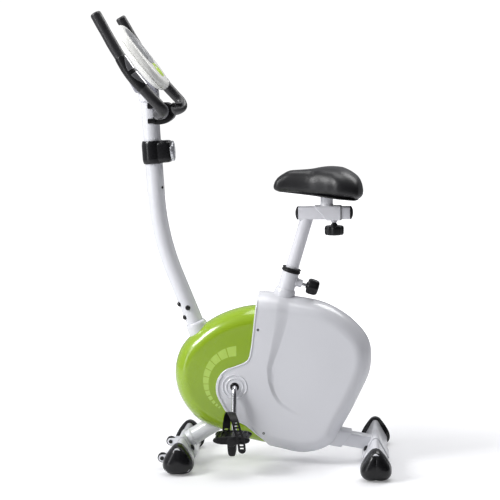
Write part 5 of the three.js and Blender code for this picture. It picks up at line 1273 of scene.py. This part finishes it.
dial = [(0, -12), (5.2, -12), (5.2, 0.4), (27, 0.4), (29, 1.6), (29, 6.5), (28.4, 8.6), (26.4, 9.6),
        (25.4, 9.2), (24.6, 8.2), (0, 8.2)]
grip_bar = rounded([(-22, -4.5), (22, -4.5), (23.5, 0), (22, 4.5), (-22, 4.5), (-23.5, 0)], 3)
piece("dial_ring", standing(turned(dial, 96, 0.8, lobes=24, lobe_deep=0.012, lobe_from=27.5), face,
                            POST_BACK), dial_silver,
      "dial", ["tension_dial"], crease=50)
piece("dial_grip", bar(grip_bar, face + POST_BACK * 8, face + POST_BACK * 12, POST_UP_TOP, 1.6), dial_white,
      "dial")

# ---- Handlebar ----
# A 25 mm steel tube bent to a U whose horns rise on both sides, in black paint. Each horn is covered in
# black foam, with a moulded sleeve that holds two steel plates for taking the rider's pulse.
BAR_R = 12.5
GRIP_R = 15.5
PLATE_TURN = 0.35  # the steel plates look a little towards the rider, in radians
BAR_AT = post_top + (40.4, 0, -55.9)
HORN = [(40, 0, 0), (95, 1, 0), (150, 8, 1), (195, 21, 4), (219, 28, 13), (230, 22, 26), (233, 7, 43),
        (231, -18, 71), (227, -54, 114), (222, -79, 152), (216, -103, 191), (207, -151, 277)]
BAR_STEPS = 38
black_tube = finish("black_tube", (0.012, 0.012, 0.013), 0.3, grain=(900, 0.015), Coat_Weight=0.2,
                    Coat_Roughness=0.2)
grip_foam = finish("grip_foam", (0.0085, 0.0083, 0.0098), 0.4, grain=(2200, 0.05), mottle=0.1, wear=0.06,
                   Specular_IOR_Level=0.5, Coat_Weight=0.35, Coat_Roughness=0.34)
right_horn = [(x, y, z) for y, x, z in HORN]
left_horn = [(x, -y, z) for y, x, z in HORN[::-1]]
bar_line = smooth_line(np.array(left_horn + [(0, 0, 0)] + right_horn) + BAR_AT, 609)
ACROSS_HORNS = np.array((0.86, 0, 0.5))
sensor_chrome = finish("sensor_chrome", (0.45, 0.45, 0.46), 0.14, metal=1.0, grain=(600, 0.004), mottle=0.03,
                       wear=0.03)


def along_bar(first, last, count, early=0.0, late=0.0):
    """Points of the bar between two stations of thirty-eight, lengthened past its ends if asked."""
    here = np.linspace(first, last, count) / BAR_STEPS * 608
    path = np.stack([np.interp(here, np.arange(609), bar_line[:, k]) for k in range(3)], axis=1)
    path[0] += early * (path[0] - path[1]) / np.linalg.norm(path[0] - path[1])
    path[-1] += late * (path[-1] - path[-2]) / np.linalg.norm(path[-1] - path[-2])
    return path


def sleeve_plate(path, centre, half_turn, height, thick, first, last):
    """Part of a lens-shaped plate wrapped on the sleeve: at a share t from -1 to 1 along the sleeve, the
    lens spans a turn either side of the centre that shrinks as 1 - t squared to the power 0.7."""
    along = np.gradient(path, axis=0)
    along /= np.linalg.norm(along, axis=1)[:, None]
    u = ACROSS_HORNS - (along @ ACROSS_HORNS)[:, None] * along
    u /= np.linalg.norm(u, axis=1)[:, None]
    v = np.cross(along, u)
    t = np.linspace(-1.05, 1.05, len(path))
    kept = (t > first) & (t < last)
    reach = half_turn * np.maximum(1 - t[kept] ** 2, 0.001) ** 0.7
    turn = centre + reach[:, None] * np.linspace(-1, 1, 31)
    direction = np.cos(turn)[..., None] * u[kept][:, None] + np.sin(turn)[..., None] * v[kept][:, None]
    outer = path[kept][:, None] + direction * (height[kept][:, None, None] + thick)
    inner = path[kept][:, None] + direction * (height[kept][:, None, None] - 1.5)
    return loft(np.concatenate((outer, inner[:, ::-1]), axis=1))


piece("bar_tube", pipe(along_bar(0, BAR_STEPS, 220, -5, -5), BAR_R, 40, ACROSS_HORNS, 1), black_tube,
      "handlebar_body", ["handlebar"])
for side_name, first, last, sensor in (("left", 0, 17, (4.7, 8.4)), ("right", 38, 21, (33.3, 29.6))):
    path = along_bar(first, last, 150, 4.2)
    share = np.linspace(0, 1, 150)
    grip_r = GRIP_R + 0.25 * np.sin(share * 40) * ease((share - 0.02) * 20)
    grip = piece(f"grip_foam_{side_name}", pipe(path, grip_r, 48, ACROSS_HORNS, 6), grip_foam,
                 "handlebar_body", [f"grip_{side_name}"], crease=60)
    path = along_bar(*sensor, 121)
    t = np.linspace(-1.05, 1.05, 121)
    swell_r = GRIP_R + 0.4 + 2.3 * np.maximum(1 - t ** 2 / 1.1025, 0) ** 0.6
    piece(f"pulse_sleeve_{side_name}", pipe(path, swell_r, 56, ACROSS_HORNS, 0.5), knob_plastic,
          "handlebar_body", [f"pulse_sensor_{side_name}"], crease=60)
    for half_name, low, high in (("lower", -0.97, -0.13), ("upper", 0.13, 0.97)):
        piece(f"pulse_rim_{side_name}_{half_name}", sleeve_plate(path, PLATE_TURN, 1.22, swell_r, 0.4,
                                                                 low - 0.02, high + 0.02),
              bright_steel, "handlebar_body")
        piece(f"pulse_plate_{side_name}_{half_name}", sleeve_plate(path, PLATE_TURN, 1.06, swell_r, 0.7,
                                                                   low + 0.02, high - 0.02),
              sensor_chrome, "handlebar_body")

# ---- Handlebar clamp ----
# A black block of two jaws bolted round the post's top. It grips the bar between two grey side discs,
# and a T handle screwed in from the rider's side locks the bar's tilt.
CLAMP_HALF = 24.0
disc_grey = finish("disc_grey", (0.20, 0.20, 0.22), 0.34, grain=(900, 0.015), mottle=0.03, Coat_Weight=0.2)
jaw = rounded([(-36, 29), (-36, 13), (-28, 12), (-25, -6), (-28, -15), (-36, -17), (-36, -30), (-12, -34),
               (8, -31), (24, -22), (33, -13), (35, -4), (28, 3), (25, 14), (26, 24), (14, 30)], 5)
clamp_shapes = [slab(jaw + BAR_AT[[0, 2]], -CLAMP_HALF, CLAMP_HALF, 2.5)]
for z, half in ((21, 8.6), (-23, 7.2)):
    clamp_shapes.append(slab(rectangle(12, half, 3) + (BAR_AT[0] - 30, BAR_AT[2] + z), -28, 28, 2))
piece("clamp_jaws", together(*clamp_shapes), cap_plastic, "bike_body", ["handlebar_clamp"])
hub = [(0, 20), (23.4, 20), (24, 21), (24, 26.5), (22.8, 28), (20, 28.4), (18.5, 27.4), (17, 27.4),
       (15.5, 28.6), (0, 28.6)]
for side_name, side in SIDES:
    piece(f"clamp_disc_{side_name}", standing(turned(hub, 72, 0.8), BAR_AT + (-4, 0, 5), (0, side, 0)),
          disc_grey, "bike_body")
handle_at = BAR_AT + (0, 0, 22)
stem = [(0, 18), (4.3, 18), (4.3, 27), (7, 28), (7, 33), (5.6, 36), (5.6, 38), (0, 38)]
block = rounded([(36, -7), (57, -7.5), (58.5, 0), (57, 7.5), (36, 7)], 3)
piece("t_handle", together(standing(turned(stem, 32, 0.6), handle_at, ALONG_X),
                           slab(block + handle_at[[0, 2]], -27, 27, 5)),
      knob_plastic, "clamp_handle", ["clamp_t_handle"])

# ---- Console ----
# A boat-shaped display in two white ABS shells, with a grey bezel sunk round a dark window and one lime
# key. It stands on a grey moulded bracket pushed over the post's top.
CONSOLE_AT = post_top + (-19.6, 0, 101.1)
PITCH = math.radians(52.5)
HALF_LONG = 112.0
HALF_WIDE = 94.0
FACE = 18.0
BACK = 24.0
SEAM_AT = -2.0
WINDOW_AT = -28.0
BUTTON_AT = 62.0
console_white = finish("console_white", (0.93, 0.93, 0.89), 0.36, grain=(700, 0.02), mottle=0.015,
                       Coat_Weight=0.2)
bezel_grey = finish("bezel_grey", (0.33, 0.335, 0.345), 0.4, grain=(900, 0.02), mottle=0.03)
lens_dark = finish("lens_dark", (0.14, 0.16, 0.15), 0.12, grain=(500, 0.004), mottle=0.03, Coat_Weight=1.0,
                   Coat_Roughness=0.04)
lime_key = finish("lime_key", (0.56, 0.80, 0.045), 0.3, grain=(900, 0.01), mottle=0.04)
bracket_lilac = finish("bracket_lilac", (0.33, 0.33, 0.38), 0.36, grain=(900, 0.015), mottle=0.03)


def on_desk(points):
    """Turns points of the level console about Y by its pitch, and puts them at the top of the post."""
    x, y, z = np.moveaxis(np.asarray(points, float), -1, 0)
    turned_x = x * math.cos(PITCH) + z * math.sin(PITCH)
    turned_z = z * math.cos(PITCH) - x * math.sin(PITCH)
    return np.stack((turned_x, y, turned_z), axis=-1) + CONSOLE_AT


def oval_ring(x, half_long, half_wide, level, power, count=120):
    """A superellipse: the cosine and sine of a turn to a power, keeping their signs."""
    turn = np.linspace(0, 2 * math.pi, count, endpoint=False)
    across = np.sign(np.cos(turn)) * np.abs(np.cos(turn)) ** power
    up = np.sign(np.sin(turn)) * np.abs(np.sin(turn)) ** power
    return np.stack((x + half_long * across, half_wide * up, np.full(count, float(level))), axis=-1)


def desk_rings(x, power, rows, count=120):
    """Superellipses on the console, one for each row of half length, half width and level."""
    return [on_desk(oval_ring(x, half_long, half_wide, level, power, count))
            for half_long, half_wide, level in rows]


def shell_rings(profile):
    """The console's outline drawn in by each distance of a profile, at the level beside it."""
    return desk_rings(0, 0.8, [(HALF_LONG - drawn_in, HALF_WIDE - drawn_in, level)
                               for drawn_in, level in profile])


back_profile = [(70, -23), (48, -BACK), (34, -22.6), (24, -20.5), (14, -17), (8, -14), (3, -9.5), (0.6, -5),
                (0, SEAM_AT - 0.7), (1.2, SEAM_AT - 0.1)]
piece("console_rear_shell", loft(shell_rings(back_profile)), console_white, "bike_body",
      ["console_back"])
front_profile = [(1.2, SEAM_AT + 0.3), (0, SEAM_AT + 0.9), (0, 5), (0.7, 9), (2.2, 12.6), (5, 15.6),
                 (9, 17.4), (14, FACE)]
well = [(67, 70, FACE + 0.3), (65, 68, FACE), (63, 66, FACE - 2.5), (62, 65, FACE - 7)]
piece("console_front_shell", loft(shell_rings(front_profile) + desk_rings(WINDOW_AT, 0.75, well)),
      console_white, "bike_body", ["console_front"])
bezel = [(63.4, 66.4, FACE - 8), (63.4, 66.4, FACE - 1.4), (61, 64, FACE + 0.6), (41, 49, FACE - 3.4),
         (39, 47, FACE - 5), (39, 47, FACE - 8)]
piece("console_bezel", loft(desk_rings(WINDOW_AT, 0.75, bezel)), bezel_grey, "bike_body")
lens = [(38.5, 46.5, FACE - 6), (38.5, 46.5, FACE - 3.6), (37.5, 45.5, FACE - 3.1), (20, 28, FACE - 2.6),
        (1, 1.5, FACE - 2.5)]
piece("console_window", loft(desk_rings(WINDOW_AT, 0.6, lens)), lens_dark, "bike_body",
      ["console_lens"])
key = [(13, 20, FACE - 8), (13, 20, FACE + 0.4), (12.2, 19.2, FACE + 1.2), (9, 15, FACE + 1.9),
       (4, 7, FACE + 2.2), (0.5, 0.9, FACE + 2.3)]
piece("lime_key_cap", loft(desk_rings(BUTTON_AT, 0.8, key, 64)), lime_key, "button",
      ["mode_button"])
pad = [(24, 34, FACE - 3), (24, 34, FACE + 0.5), (23, 33, FACE + 0.9), (15, 22, FACE + 0.9),
       (15, 22, FACE - 3)]
piece("lime_key_pad", loft(desk_rings(BUTTON_AT - 6, 0.8, pad, 64), loop=True), lime_key, "bike_body")
cup = [(25.6, -22), (29.4, -22), (30, -20), (30, 2), (27, 6), (25.6, 6), (25.6, -22)]
arm_outline = rounded([(-35.6, 2), (-58.6, 44), (-47, 74), (-20, 62), (20, 24), (28.4, 2)],
                      6) + post_top[[0, 2]]
piece("console_cup", standing(turned(cup, 56, 1), post_top, POST_UP_TOP), white_paint, "bike_body",
      ["console_bracket"])
piece("console_stand", slab(arm_outline, -26, 26, 4), bracket_lilac, "bike_body")

# ---- Works inside the casing ----
# A plastic pulley and a rubber belt drive a cast flywheel on a steel axle. A pressed bracket of magnets
# brakes its rim, and all of it keeps the CAD shapes, each with its own finish.
cast_iron = finish("cast_iron", (0.11, 0.11, 0.115), 0.5, metal=0.8, grain=(300, 0.12), mottle=0.15, wear=0.1)
pulley_plastic = finish("pulley_plastic", (0.02, 0.02, 0.022), 0.4, grain=(900, 0.03))
belt_rubber = finish("belt_rubber", (0.015, 0.015, 0.016), 0.6, grain=(1200, 0.05))
zinc_steel = finish("zinc_steel", (0.5, 0.5, 0.48), 0.35, metal=0.9, grain=(400, 0.03), mottle=0.1)
cable_sheath = finish("cable_sheath", (0.014, 0.014, 0.015), 0.45, grain=(1500, 0.03))
WORKS = {"drive_pulley": pulley_plastic, "flywheel": cast_iron, "drive_belt": belt_rubber,
         "flywheel_axle": bright_steel,
         "crank_bearing_left": zinc_steel, "crank_bearing_right": zinc_steel, "magnet_bracket": zinc_steel,
         "tension_cable": cable_sheath}
for node, material in WORKS.items():
    kept = bpy.data.objects[node]
    kept.data.materials.clear()
    kept.data.materials.append(material)
